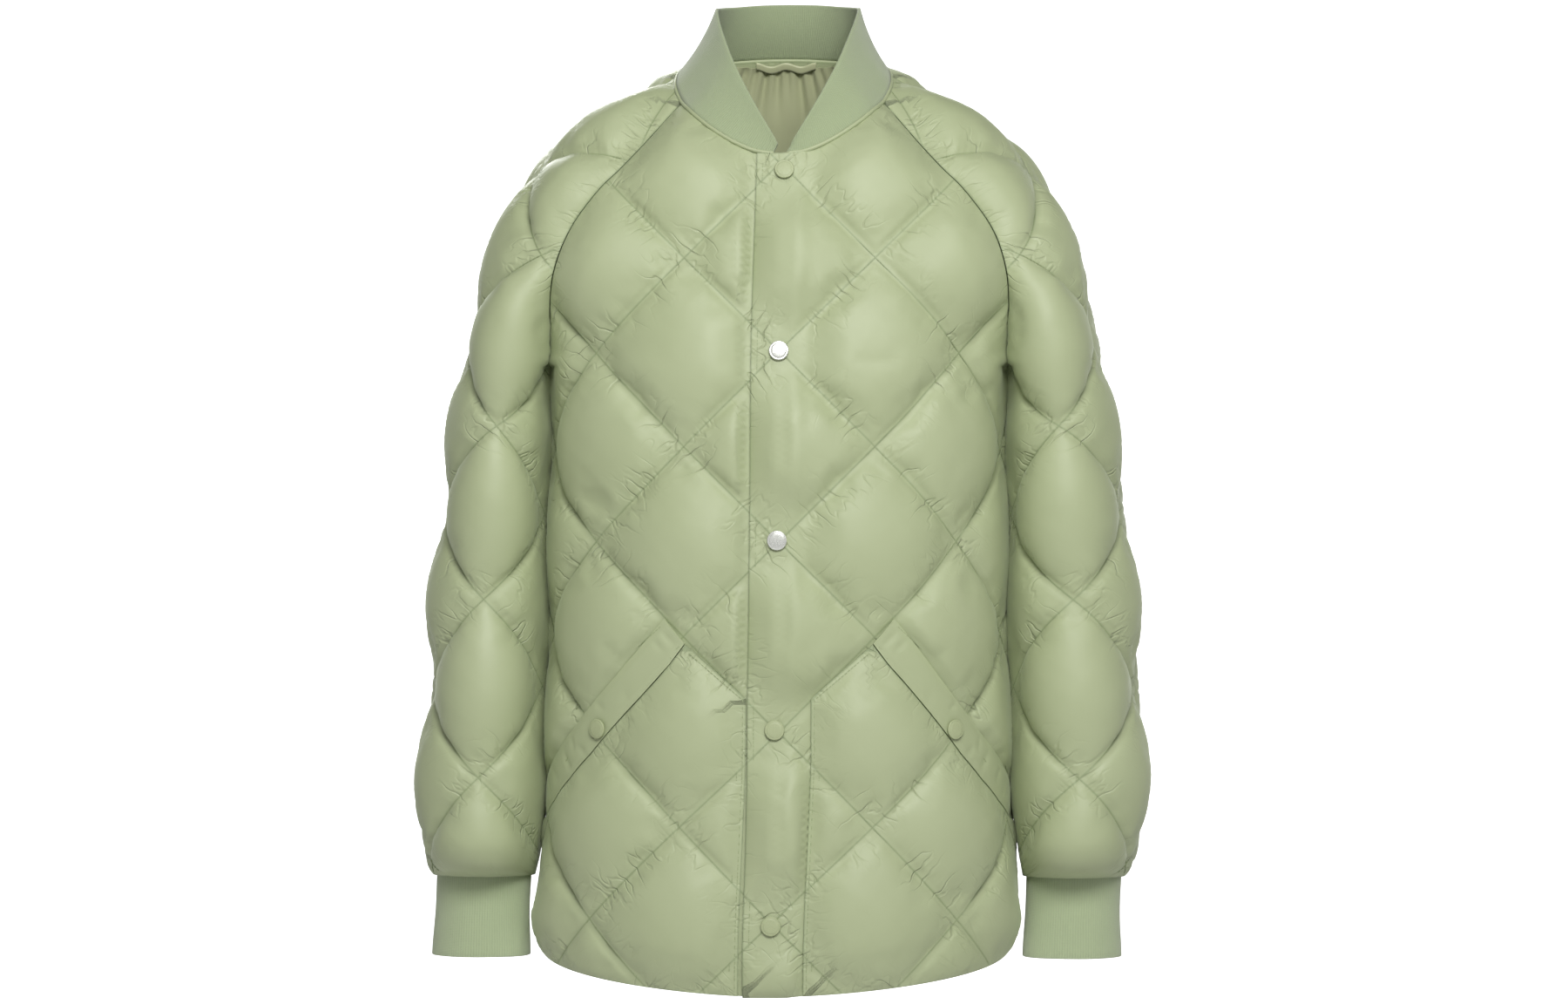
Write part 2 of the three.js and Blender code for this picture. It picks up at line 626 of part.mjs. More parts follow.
// The patch pocket's outline on the left front, inside the welt's inner edge and the side seam
function pocketOutline() {
  const last = WELT_ROWS[WELT_ROWS.length - 1].inner;
  const sideAt = (z) => ({ across: bodyWidth(z, -1) - POCKET_SIDE_MARGIN, up: z });
  const hemWidth = bodyWidth(HEM_SIDE_Z, -1) - POCKET_SIDE_MARGIN;
  return [
    ...along(POCKET_FRONT_EDGE, hemWidth, (across) => ({
      across,
      up: hemZ(across / hemWidth, HEM_FRONT_Z) + 0.6,
    })),
    ...along(HEM_SIDE_Z + 8, last.up - 8, sideAt, 20),
    ...WELT_ROWS.map((row) => ({ across: row.inner.across - 0.3, up: row.inner.up - 0.5 })).reverse(),
    { across: POCKET_FRONT_EDGE, up: POCKET_CORNER_Z },
  ];
}
const pocket = pocketOutline();
const pocketAndWelt = [
  ...pocket.slice(0, -WELT_ROWS.length - 1),
  ...WELT_ROWS.map((row) => row.outer).reverse(),
  WELT_ROWS[0].inner,
  { across: POCKET_FRONT_EDGE, up: POCKET_CORNER_Z },
];

// The filling is held down round each snap.
function nearSnap(across, up) {
  const places = SNAP_HEIGHTS.map((z) => Math.hypot(across - closingAt(z), up - z));
  return ease(Math.min(...places) / SNAP_REACH);
}

// Filling at the body's side, where the sleeve presses on it
function sideLimit(across, up, side) {
  const fromSide = bodyWidth(up, side) - Math.abs(across);
  const pressed = (1 - ease((fromSide - 30) / 60)) * ease((up - SLEEVE_END_Z) / 50);
  const room = SIDE_PUFF * clamp01((UNDERARM_Z - up) / 60);
  return up < UNDERARM_Z ? PUFF + (room - PUFF) * pressed : PUFF;
}

function frontRise(outline, coverEdge) {
  return (across, up) => {
    const out = Math.abs(across);
    const fromEdge = (across - closingAt(up)) * coverEdge.sign - coverEdge.from;
    if (inside(pocketAndWelt, out, up) || fromEdge < 0) return 0;
    const covered = thinning(distanceTo(pocketAndWelt, out, up) - WELT_MARGIN);
    const free = thinning(distanceTo(outline, across, up));
    const beside = thinning(fromEdge + 4);
    return (
      sideLimit(across, up, -1) *
      diamond(across, up, bodyQuilt) *
      Math.min(covered, free, beside) *
      nearSnap(across, up)
    );
  };
}

// Body and sleeve give way to each other beside the underarm, and less so at the seams themselves.
function underarmPress(outline, underarm) {
  return (across, up) => {
    const away = Math.hypot(Math.abs(across) - underarm.across, up - underarm.up);
    const share = clamp01(UNDERARM_SEAM_SHARE + distanceTo(outline, across, up) / 8);
    return -UNDERARM_PRESS * (1 - ease(away / UNDERARM_REACH)) * share;
  };
}
const bodyUnderarm = (side) => ({ across: bodyWidth(UNDERARM_Z, side), up: UNDERARM_Z });
const flapLift = (across, up) =>
  FLAP_LIFT * (1 - ease((across - closingAt(up) - FLAP_FLAT) / (FLAP_DOWN - FLAP_FLAT)));

const leftOutline = frontOutline(FLAP_EDGE, false);
const leftPress = underarmPress(leftOutline, bodyUnderarm(-1));
add(
  "front_left",
  cutPiece({
    outline: leftOutline,
    quilt: bodyQuilt,
    surface: frontPoint,
    rise: frontRise(leftOutline, { sign: 1, from: FLAP_EDGE - 1 }),
    lift: (across, up) => flapLift(across, up) + leftPress(across, up),
  }),
  cloth,
);

const mirrorOutline = (outline) => outline.map((p) => ({ across: -p.across, up: p.up })).reverse();
const rightOutline = mirrorOutline(frontOutline(-UNDERLAP_EDGE, true));
add(
  "front_right",
  cutPiece({
    outline: rightOutline,
    quilt: bodyQuilt,
    surface: frontPoint,
    rise: frontRise(rightOutline, { sign: -1, from: -FLAP_EDGE + 8 }),
    lift: underarmPress(rightOutline, bodyUnderarm(-1)),
  }),
  cloth,
);

// The back, in one piece from side seam to side seam
function backOutline() {
  const sideAt = (z) => ({ across: bodyWidth(z, 1) - SEAM, up: z });
  const top = raglan[1][raglan[1].length - 1];
  const neckAt = (across) => ({
    across,
    up: BACK_NECK_Z - SEAM + (top.z - BACK_NECK_Z) * (across / bodyWidth(top.z, 1)) ** 2,
  });
  const hemWidth = bodyWidth(HEM_SIDE_Z, 1) - SEAM;
  const half = [
    ...along(0, hemWidth, (across) => ({ across, up: hemZ(across / hemWidth, HEM_BACK_Z) })),
    ...along(HEM_SIDE_Z, UNDERARM_Z, sideAt, 20).slice(1, -1),
    ...raglanOutline(1),
    ...along(bodyWidth(top.z, 1) - 2, 0, neckAt, 16),
  ];
  const other = mirrorOutline(half);
  return [...half, ...other.slice(1, -1)];
}
const back = backOutline();
add(
  "back",
  cutPiece({
    outline: back,
    quilt: bodyQuilt,
    surface: backPoint,
    rise: (across, up) =>
      sideLimit(across, up, 1) * diamond(across, up, bodyQuilt) * thinning(distanceTo(back, across, up)),
    lift: underarmPress(back, bodyUnderarm(1)),
  }),
  cloth,
);

// Sleeves: a front and a back piece each, joined along the overarm seam and the underarm seam
function sleeveOutline(side) {
  const edgeAt = (down) => ({
    across: side * (sleeveWidth(down, side) - seamInset(down)),
    up: -down,
  });
  const overarmAt = (down) => ({ across: side * SEAM, up: -down });
  const outline = [
    ...along(RAGLAN_TOP, SLEEVE_LENGTH, overarmAt, 40),
    ...along(SLEEVE_LENGTH, UNDERARM_DOWN, edgeAt, 16).slice(0, -1),
    ...raglanDowns.map(edgeAt),
  ];
  return side < 0 ? outline.reverse() : outline;
}

function sleeveRise(outline, side) {
  return (across, up) => {
    const fromInner = sleeveWidth(-up, side) - Math.abs(across);
    const pressed = -up > UNDERARM_DOWN ? 1 - ease((fromInner - 20) / 70) : 0;
    const room = SLEEVE_SIDE_PUFF * clamp01((-up - UNDERARM_DOWN) / 60);
    const limit = PUFF + (room - PUFF) * pressed;
    return limit * diamond(across, up, sleeveQuilt) * thinning(distanceTo(outline, across, up));
  };
}

for (const side of [-1, 1]) {
  const outline = sleeveOutline(side);
  const rise = sleeveRise(outline, side);
  const lift = underarmPress(outline, { across: sleeveWidth(UNDERARM_DOWN, side), up: -UNDERARM_DOWN });
  for (const [wearer, mirrored] of [["left", false], ["right", true]]) {
    const name = `sleeve_${side < 0 ? "front" : "back"}_${wearer}`;
    add(name, cutPiece({ outline, quilt: sleeveQuilt, surface: sleevePoint, rise, lift, mirrored }), cloth);
  }
}

// Patch pockets, quilted in step with the fronts they lie on
function pocketRise(outline) {
  return (across, up) =>
    sideLimit(across, up, -1) *
    0.9 *
    diamond(across, up, bodyQuilt) *
    thinning(distanceTo(outline, across, up));
}
const onPocket = () => POCKET_LIFT;
const pocketRight = mirrorOutline(pocket);
for (const [wearer, outline] of [["left", pocket], ["right", pocketRight]]) {
  const rise = pocketRise(outline);
  add(
    `pocket_${wearer}`,
    cutPiece({ outline, quilt: bodyQuilt, surface: frontPoint, rise, lift: onPocket, tall: 1 }),
    cloth,
  );
}

// Welts: flat strips along the pockets' openings
const mirrorPoint = (point) => vec(-point.x, point.y, point.z);
function offFront(place, off) {
  return frontPoint(place.across, place.up).addScaledVector(
    outwardOf(frontPoint, place.across, place.up),
    off,
  );
}
const halfWay = (a, b) => ({ across: (a.across + b.across) / 2, up: (a.up + b.up) / 2 });
const weltRows = WELT_ROWS.flatMap((row, i) => {
  const next = WELT_ROWS[i + 1];
  return next ? [row, { inner: halfWay(row.inner, next.inner), outer: halfWay(row.outer, next.outer) }] : [row];
});
const weltLoops = weltRows.map(({ inner, outer }) => {
  const low = WELT_LIFT - WALL;
  const high = low + WELT_THICKNESS;
  const innerEdge = { across: inner.across + 0.3, up: inner.up + 0.3 };
  const middle = halfWay(inner, outer);
  return [
    offFront(innerEdge, low),
    offFront(middle, low),
    offFront(outer, low),
    offFront(outer, high),
    offFront(middle, high + 0.6),
    offFront(innerEdge, high),
  ];
});
const welt = loft(weltLoops.reverse());
add("welt_left", welt, cloth);
add("welt_right", mirrorSolid(welt), cloth);

// Snap caps: shallow domes that face outwards
const capProfile = [
  [0, -SNAP_SHANK],
  [SNAP_RADIUS * 0.25, -SNAP_SHANK],
  [SNAP_RADIUS, 0],
  [SNAP_RADIUS, SNAP_HEIGHT * 0.5],
  [SNAP_RADIUS * 0.88, SNAP_HEIGHT * 0.85],
  [SNAP_RADIUS * 0.45, SNAP_HEIGHT],
  [0, SNAP_HEIGHT],
].map(([r, h]) => new THREE.Vector2(r, h));

function addSnap(name, place, off, mirrored = false) {
  const snap = add(name, new THREE.LatheGeometry(capProfile, 16), snapMetal);
  const outward = outwardOf(frontPoint, place.across, place.up);
  const point = offFront(place, off);
  if (mirrored) {
    outward.x *= -1;
    point.x *= -1;
  }
  snap.position.copy(point);
  snap.position.x += swayAt(point.x, point.z);
  snap.quaternion.setFromUnitVectors(vec(0, 1, 0), outward);
}
SNAP_HEIGHTS.forEach((up, i) => {
  addSnap(`snap_front_${i + 1}`, { across: closingAt(up), up }, FLAP_LIFT + SNAP_CLEARANCE);
});
const onWelt = WELT_LIFT - WALL + WELT_THICKNESS + 0.6 + 0.3 + SNAP_SHANK;
addSnap("snap_pocket_left", POCKET_SNAP, onWelt);
addSnap("snap_pocket_right", POCKET_SNAP, onWelt, true);

// Cuffs: tapered rib-knit tubes that start just inside the sleeve's gathered end
function cuffLoops() {
  const around = 20;
  const ring = (half, depth, z) => ({ half, depth, z });
  const waist = ring(
    (CUFF.topHalf + CUFF_BOTTOM.half) / 2 - 1,
    (CUFF.topDepth + CUFF_BOTTOM.depth) / 2,
    (CUFF.topZ + CUFF.bottomZ) / 2,
  );
  const outer = [
    ring(CUFF_BOTTOM.half, CUFF_BOTTOM.depth, CUFF.bottomZ),
    waist,
    ring(CUFF.topHalf, CUFF.topDepth, CUFF.topZ),
  ];
  const narrower = ({ half, depth, z }) => ring(half - RIB_THICKNESS, depth - RIB_THICKNESS, z);
  const rings = [...outer, ...outer.map(narrower).reverse()];
  return Array.from({ length: around }, (_, k) => {
    const angle = (2 * Math.PI * k) / around;
    return rings.map(({ half, depth, z }) =>
      vec(CUFF.x + half * Math.cos(angle), CUFF.y + depth * Math.sin(angle), z),
    );
  });
}
const cuff = loft(cuffLoops(), true);
add("cuff_left", cuff, ribKnit);
add("cuff_right", mirrorSolid(cuff), ribKnit);

// Half of the neck seam, from the centre front round to the centre back
function neckCurve() {
  const points = [];
  for (const x of [COLLAR_START_X, 20, 35, 50, 64, 76]) {
    const z = read(FRONT_NECK, "x", "z", x);
    points.push(frontPoint(acrossAt(x, z, -1), z));
  }
  const top = sleeveSection(0);
  for (const share of [-1, -0.5, 0, 0.5, 1]) points.push(sectionPoint(top, share * top.angle));
  const end = raglan[1][raglan[1].length - 1];
  const width = bodyWidth(end.z, 1);
  for (const share of [0.75, 0.5, 0.25, 0]) {
    const z = BACK_NECK_Z + (end.z - BACK_NECK_Z) * share ** 2;
    points.push(mirrorPoint(backPoint(share * width, z)));
  }
  return new THREE.CatmullRomCurve3(points);
}
const neck = neckCurve();

// Collar: a standing band that leans in, from one end of the neck seam to the other
function collarLoop(share, mirror) {
  const seam = neck.getPointAt(share);
  const edge = vec(...["x", "y", "z"].map((c) => read(COLLAR_EDGE, "share", c, share)));
  const upwards = edge.clone().sub(seam);
  const round = neck.getTangentAt(share);
  const outward = round.clone().cross(upwards).normalize().negate();
  const first = seam.clone().addScaledVector(upwards.clone().normalize(), 0.7);
  const outer = [0, 0.33, 0.67, 1].map((t) => {
    const bulge = COLLAR_BULGE * 4 * t * (1 - t) * clamp01(upwards.length() / 50);
    const place = first.clone().lerp(edge, t).addScaledVector(outward, bulge);
    place.x += mirror * COLLAR_LEAN * t;
    return place;
  });
  const inner = outer.map((point) => point.clone().addScaledVector(outward, -RIB_THICKNESS));
  const loop = [...outer, ...inner.reverse()];
  return mirror > 0 ? loop : loop.map(mirrorPoint);
}
const collarShares = Array.from({ length: 21 }, (_, i) => i / 20);
add(
  "collar",
  loft([
    ...collarShares.map((share) => collarLoop(share, -1)),
    ...collarShares.slice(0, -1).reverse().map((share) => collarLoop(share, 1)),
  ]),
  ribKnit,
);

// Lining of the upper back, just inside the back's wall
function liningLoops() {
  const rows = 6;
  const columns = 9;
  const inward = (across, up, off) =>
    backPoint(across, up).addScaledVector(outwardOf(backPoint, across, up), -WALL - LINING.gap - off);
  return Array.from({ length: columns + 1 }, (_, i) => {
    const across = LINING.half * ((2 * i) / columns - 1);
    const topZ = BACK_NECK_Z - LINING.top - 62 * Math.max(0, Math.abs(across) / LINING.half - 0.5) ** 1.2;
    const ups = Array.from({ length: rows + 1 }, (_, j) => LINING.bottomZ + ((topZ - LINING.bottomZ) * j) / rows);
    return [
      ...ups.map((up) => inward(across, up, 0)),
      ...ups.reverse().map((up) => inward(across, up, LINING.thickness)),
    ];
  });
}
add("neck_lining", loft(liningLoops()), liningCloth);

// Hanger loop: a narrow tape that waves between its two ends at the back neck seam
function loopLoops() {
  const steps = 16;
  return Array.from({ length: steps + 1 }, (_, i) => {
    const t = i / steps;
    const across = LOOP.half * (2 * t - 1);
    const up = BACK_NECK_Z - LOOP.drop - LOOP.wave * Math.sin(2 * Math.PI * t) ** 2;
    const stand = WALL + LINING.gap + LINING.thickness + LOOP.gap;
    const outward = outwardOf(backPoint, across, up);
    const at = (height, off) => backPoint(across, up + height).addScaledVector(outward, -stand - off);
    return [
      at(0, 0),
      at(LOOP.width, 0),
      at(LOOP.width, LOOP.thickness),
      at(0, LOOP.thickness),
    ];
  });
}
add("hanger_loop", loft(loopLoops()), liningCloth);

export default jacket;
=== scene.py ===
import math

import bmesh
import bpy
import mathutils
import numpy as np
from mathutils import Matrix, Vector


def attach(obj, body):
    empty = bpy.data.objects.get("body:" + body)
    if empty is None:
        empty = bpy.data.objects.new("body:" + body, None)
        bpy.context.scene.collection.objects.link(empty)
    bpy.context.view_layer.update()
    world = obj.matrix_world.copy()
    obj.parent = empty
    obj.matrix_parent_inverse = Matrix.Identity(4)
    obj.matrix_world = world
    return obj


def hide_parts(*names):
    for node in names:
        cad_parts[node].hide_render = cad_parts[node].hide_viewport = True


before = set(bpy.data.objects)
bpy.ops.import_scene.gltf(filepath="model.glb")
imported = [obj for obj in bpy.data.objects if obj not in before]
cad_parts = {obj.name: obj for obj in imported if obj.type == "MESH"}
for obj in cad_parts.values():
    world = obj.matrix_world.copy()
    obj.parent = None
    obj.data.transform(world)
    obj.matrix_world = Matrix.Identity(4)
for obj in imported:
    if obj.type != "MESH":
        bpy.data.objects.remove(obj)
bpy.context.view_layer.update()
scene = bpy.context.scene
MM = 0.001

# Camera: almost straight in front of the jacket, level with its middle, through a long lens.
CAMERA_DISTANCE = 4.0
CAMERA_TURN = math.radians(1.8)
CAMERA_HEIGHT = -0.384
FRAME_WIDTH = 1.35  # metres across the picture at the jacket
SENSOR = 36.0
camera_data = bpy.data.cameras.new("camera")
camera_data.sensor_width = SENSOR
camera_data.lens = SENSOR * CAMERA_DISTANCE / FRAME_WIDTH
camera = bpy.data.objects.new("camera", camera_data)
camera.location = (
    CAMERA_DISTANCE * math.sin(CAMERA_TURN),
    -CAMERA_DISTANCE * math.cos(CAMERA_TURN),
    CAMERA_HEIGHT,
)
camera.rotation_euler = (math.radians(90), 0, CAMERA_TURN)
scene.collection.objects.link(camera)
scene.camera = camera

# Studio: a round white floor at the height of a wearer's feet, which curves up into a wall that glows
# with painted light, brightest behind the jacket, and soft lights from the front, above and behind.
FLOOR_Z = -1.6
WALL_RADIUS = 8.0
WALL_TOP = 3.2
SWEEP = 1.2
SWEEP_STEPS = 12
ROOM_STEPS = 96
LIT_FROM, LIT_TO = 2.5, 6.0
FRONT_GLOW = 0.1
BACK_GLOW = 1.0
GLOW_FROM, GLOW_TO = 5.0, 7.0
RANGE_SOCKETS = ("From Min", "From Max", "To Min", "To Max")
scene.view_settings.view_transform = "Standard"


def spun(profile, turns):
    """A closed or open shape turned round the Z axis from a profile of (radius, height)."""
    bm = bmesh.new()
    verts = [bm.verts.new((radius, 0, height)) for radius, height in profile]
    edges = [bm.edges.new(pair) for pair in zip(verts, verts[1:])]
    bmesh.ops.spin(
        bm,
        geom=verts + edges,
        cent=(0, 0, 0),
        axis=(0, 0, 1),
        angle=math.tau,
        steps=turns,
        use_merge=True,
        use_duplicate=False,
    )
    bmesh.ops.remove_doubles(bm, verts=bm.verts, dist=1e-6)
    bmesh.ops.recalc_face_normals(bm, faces=bm.faces)
    for face in bm.faces:
        face.smooth = True
    return bm


def new_object(name, bm, material):
    """An object of a finished bmesh, in the scene."""
    mesh = bpy.data.meshes.new(name)
    bm.to_mesh(mesh)
    bm.free()
    mesh.materials.append(material)
    made = bpy.data.objects.new(name, mesh)
    scene.collection.objects.link(made)
    return made


def new_material(name):
    material = bpy.data.materials.new(name)
    material.use_nodes = True
    return material, material.node_tree, material.node_tree.nodes["Principled BSDF"]


def glowing_studio_paper():
    """White paper that glows with painted light, none close round the jacket and most behind it."""
    paper, tree, shader = new_material("glowing_studio_paper")
    shader.inputs["Base Color"].default_value = (0.72, 0.72, 0.72, 1)
    shader.inputs["Roughness"].default_value = 0.9
    shader.inputs["Emission Color"].default_value = (1, 1, 1, 1)
    place = tree.nodes.new("ShaderNodeTexCoord").outputs["Object"]
    parts = tree.nodes.new("ShaderNodeSeparateXYZ")
    tree.links.new(place, parts.inputs[0])
    outwards = tree.nodes.new("ShaderNodeVectorMath")
    outwards.operation = "LENGTH"
    tree.links.new(place, outwards.inputs[0])
    factors = []
    for value, low, high, to_low, to_high in (
        (outwards.outputs["Value"], LIT_FROM, LIT_TO, 0, 1),
        (parts.outputs["Y"], GLOW_FROM, GLOW_TO, FRONT_GLOW, BACK_GLOW),
    ):
        lit = tree.nodes.new("ShaderNodeMapRange")
        tree.links.new(value, lit.inputs["Value"])
        for socket, number in zip(RANGE_SOCKETS, (low, high, to_low, to_high)):
            lit.inputs[socket].default_value = number
        factors.append(lit.outputs["Result"])
    glow = tree.nodes.new("ShaderNodeMath")
    glow.operation = "MULTIPLY"
    for factor, socket in zip(factors, glow.inputs):
        tree.links.new(factor, socket)
    # painted light: the paper's own emission, faint all round and full behind the jacket
    tree.links.new(glow.outputs[0], shader.inputs["Emission Strength"])
    return paper


sweep_turn = np.radians(90) * np.arange(SWEEP_STEPS + 1) / SWEEP_STEPS
sweep_out = WALL_RADIUS - SWEEP + SWEEP * np.sin(sweep_turn)
sweep_up = FLOOR_Z + SWEEP - SWEEP * np.cos(sweep_turn)
room_profile = [(0, FLOOR_Z), *zip(sweep_out, sweep_up), (WALL_RADIUS, WALL_TOP)]
room_mesh = spun(room_profile, ROOM_STEPS)
bmesh.ops.reverse_faces(room_mesh, faces=room_mesh.faces)
new_object("studio_room", room_mesh, glowing_studio_paper())


def soft_light(name, place, aim, size, power):
    data = bpy.data.lights.new(name, "AREA")
    data.shape = "RECTANGLE"
    data.size, data.size_y = size
    data.energy = power
    light = bpy.data.objects.new(name, data)
    light.location = place
    light.rotation_euler = (Vector(aim) - Vector(place)).to_track_quat("-Z", "Y").to_euler()
    scene.collection.objects.link(light)


JACKET_MIDDLE = (0, 0, -0.38)
soft_light("key_light", (0.45, -3.2, 1.35), (0, 0, -0.3), (1.8, 1.1), 110)
soft_light("top_light", (0, -1.2, 2.2), JACKET_MIDDLE, (2.0, 1.2), 12)
soft_light("back_light", (-0.9, 3.4, 1.5), JACKET_MIDDLE, (1.6, 1.2), 85)
world = bpy.data.worlds.new("studio_air")
world.use_nodes = True
world.node_tree.nodes["Background"].inputs["Color"].default_value = (1, 1, 1, 1)
world.node_tree.nodes["Background"].inputs["Strength"].default_value = 0.01
scene.world = world

# Fronts: two panels of light satin, filled and quilted in diamonds, that meet the sleeves in raglan
# seams and the back at the sides. The wearer's left front laps over the right one and ends in a plain
# folded edge. Each panel is cut flat on the quilting's own grid, laid on the garment's form, and its
# filling is blown up by a cloth simulation held down at every stitch line. Sizes are millimetres.
WALL = 2.0
SEAM = 0.25
UNDERARM_SEAM = 1.4
UNDERARM_SEAM_REACH = 50
PUFF = 15
HALF_WIDTH = 80
HALF_HEIGHT = 79
SLEEVE_HALF_HEIGHT = 76
ROUNDNESS = 2.4
FLAP_EDGE = -23
UNDERLAP_EDGE = 2
FLAP_LIFT = 3.2
FLAP_FLAT = 12
FLAP_DOWN = 26
SNAP_HEIGHTS = [-107, -259, -416, -573, -735]
SNAP_REACH = 60
UNDERARM_Z = -268
SIDE_PUFF = 7
SLEEVE_END_Z = -755
UNDERARM_PRESS = 0.6
UNDERARM_REACH = 75
UNDERARM_SEAM_SHARE = 0.7
HEM_FRONT_Z = -795
HEM_SIDE_Z = -762
HEM_BACK_Z = -790
HEM_CURVE = 1.6
ARC_STEPS = 60
RAGLAN_STEPS = 80
NECK_END = 2  # the neck edge stops this far short of the raglan seam
SQUAREST = 0.97


def table(names, *rows):
    return dict(zip(names.split(), np.array(rows, float).T))


SWAY = table("z x", (-800, -7), (-740, -6), (-660, -2.5), (-590, 0), (60, 0))
SIDE_LEAN = table("z x", (-700, 0), (-590, -4.5), (-300, -4.5), (-160, 0))
LEAN_START, LEAN_FULL, LEAN_FADE, LEAN_END = 100, 180, 200, 300
CLOSING = table(
    "z x", (-800, 0), (-700, -0.5), (-582, -2.5), (-417, -1), (-254, 0), (-99, 3.5), (-60, 4)
)
BODY = table(
    "z front back half",
    (-805, 140, 137, 197),
    (-765, 146.5, 142, 198.5),
    (-710, 149.5, 144, 197.5),
    (-640, 149, 143, 196),
    (-520, 148, 140, 193),
    (-420, 147, 140, 192),
    (-330, 144, 141, 191),
    (-292, 142, 141, 192),
    (-268, 139, 140, 195),
    (-220, 132, 136, 195),
    (-160, 119, 127, 195),
    (-120, 108, 117, 195),
    (-84, 96, 105, 195),
    (-40, 80, 87, 195),
    (5, 66, 66, 195),
)
SLEEVE = table(
    "out_x out_z in_x in_z depth lean_x lean_z y angle",
    (90, -17, 80, -24, 54, -6, 22, 3, 60),
    (134, -40, 112, -66, 83, -4, 16, 3, 60),
    (166, -58, 133, -91, 95, -2, 12, 3, 62),
    (203, -89, 155, -114, 98, 0, 9, 3, 66),
    (228, -128, 177, -147, 94, 0, 6, 2, 78),
    (247, -179, 190, -183, 92, 0, 4, 1, 99),
    (256, -212, 194, -216, 91, 0, 2, 0, 124),
    (261, -235, 194.5, -247, 90, 0, 1, 0, 152),
    (265, -253, 195, -268, 90, 0, 0, 0, 180),
    (268, -276, 199, -290, 90, 0, 0, 0, 180),
    (274, -304, 200, -316, 89, 0, 0, 0, 180),
    (281, -345, 200, -352, 88, 0, 0, 0, 180),
    (287, -396, 200, -400, 86, 0, 0, 0, 180),
    (296, -470, 201, -472, 84, 0, 0, -1, 180),
    (298, -535, 202, -535, 82, 0, 0, -3, 180),
    (305, -615, 204, -615, 80, 0, 0, -5, 180),
    (304, -655, 205, -655, 78, 0, 0, -6, 180),
    (302, -682, 206, -682, 70, 0, 0, -7, 180),
    (300, -697, 208, -697, 52, 0, 0, -7, 180),
    (297.6, -704, 209.4, -704, 36, 0, 0, -7, 180),
)
UNDERARM_ROW = 8
overarm_steps = np.hypot(np.diff(SLEEVE["out_x"]), np.diff(SLEEVE["out_z"]))
SLEEVE["down"] = np.concatenate([[0], np.cumsum(overarm_steps)])
UNDERARM_DOWN = SLEEVE["down"][UNDERARM_ROW]
SLEEVE_LENGTH = SLEEVE["down"][-1]
NECK_FRONT = table(
    "x z", (0, -92), (20, -89.5), (40, -81), (60, -68), (75, -55), (85.2, -43)
)
NECK_BACK_Z = 2


def read(rows, key, column, at):
    """One column of a table, read smoothly at places along its increasing key column."""
    x, y = rows[key], rows[column]
    at = np.clip(at, x[0], x[-1])
    i = np.clip(np.searchsorted(x, at, "right") - 1, 0, len(x) - 2)
    here = np.arange(len(x))
    before, after = np.maximum(here - 1, 0), np.minimum(here + 1, len(x) - 1)
    slope = (y[after] - y[before]) / (x[after] - x[before])
    width, rise = x[i + 1] - x[i], y[i + 1] - y[i]
    t = (at - x[i]) / width
    bend_start = slope[i] * width - rise
    bend_end = slope[i + 1] * width - rise
    return y[i] + rise * t + t * (1 - t) * (bend_start * (1 - t) - bend_end * t)


def ease(t):
    t = np.clip(t, 0, 1)
    return t * t * (3 - 2 * t)


def along_arc(point, end, distance):
    """The point at a distance along each row's arc, and the arc's whole length."""
    turns = np.linspace(0, 1, ARC_STEPS + 1) * end[:, None]
    steps = np.linalg.norm(np.diff(point(turns), axis=1), axis=2)
    lengths = np.concatenate([np.zeros((len(end), 1)), np.cumsum(steps, 1)], 1)
    k = np.clip((lengths < distance[:, None]).sum(1) - 1, 0, ARC_STEPS - 1)
    row = np.arange(len(end))
    start, stop = lengths[row, k], lengths[row, k + 1]
    t = np.clip((distance - start) / (stop - start), 0, 1)
    turn = turns[row, k] + (turns[row, k + 1] - turns[row, k]) * t
    return point(turn[:, None])[:, 0], lengths[:, -1]


def sleeve_section(down):
    """Half angle of the cloth, centre, and the two half axes of the left sleeve's sections."""
    at = {column: read(SLEEVE, "down", column, down) for column in SLEEVE if column != "down"}
    angle = np.radians(np.where(down >= UNDERARM_DOWN - 1e-6, 180, np.minimum(180, at["angle"])))
    out = np.stack([at["out_x"], at["y"], at["out_z"]], -1)
    inner = np.stack([at["in_x"], at["y"], at["in_z"]], -1)
    outward = (out - inner) / (1 - np.cos(angle))[:, None]
    back = np.stack([at["lean_x"], at["depth"], at["lean_z"]], -1)
    return angle, out - outward, outward, back


def sleeve_arc(down, side):
    angle, centre, outward, back = sleeve_section(down)

    def point(turn):
        turned = turn[..., None]
        across = outward[:, None] * np.cos(turned) + back[:, None] * np.sin(turned)
        return centre[:, None] + across

    return point, side * angle


def sleeve_point(across, up):
    """The left sleeve's cloth at stitch level, across from the overarm seam, positive to the back."""
    point, end = sleeve_arc(-up, np.where(across < 0, -1, 1))
    return along_arc(point, end, np.abs(across))[0]


def sleeve_width(down, side):
    point, end = sleeve_arc(down, side)
    return along_arc(point, end, np.zeros(len(down)))[1]


def raglan_table(side):
    down = UNDERARM_DOWN * np.linspace(1, 0, RAGLAN_STEPS + 1)
    point, end = sleeve_arc(down, side)
    seam = point(end[:, None])[:, 0]
    keep = np.concatenate([[True], seam[1:, 2] > np.maximum.accumulate(seam[:, 2])[:-1]])
    return {"x": seam[keep, 0], "y": side * seam[keep, 1], "z": seam[keep, 2]}


raglan = {side: raglan_table(side) for side in (-1, 1)}


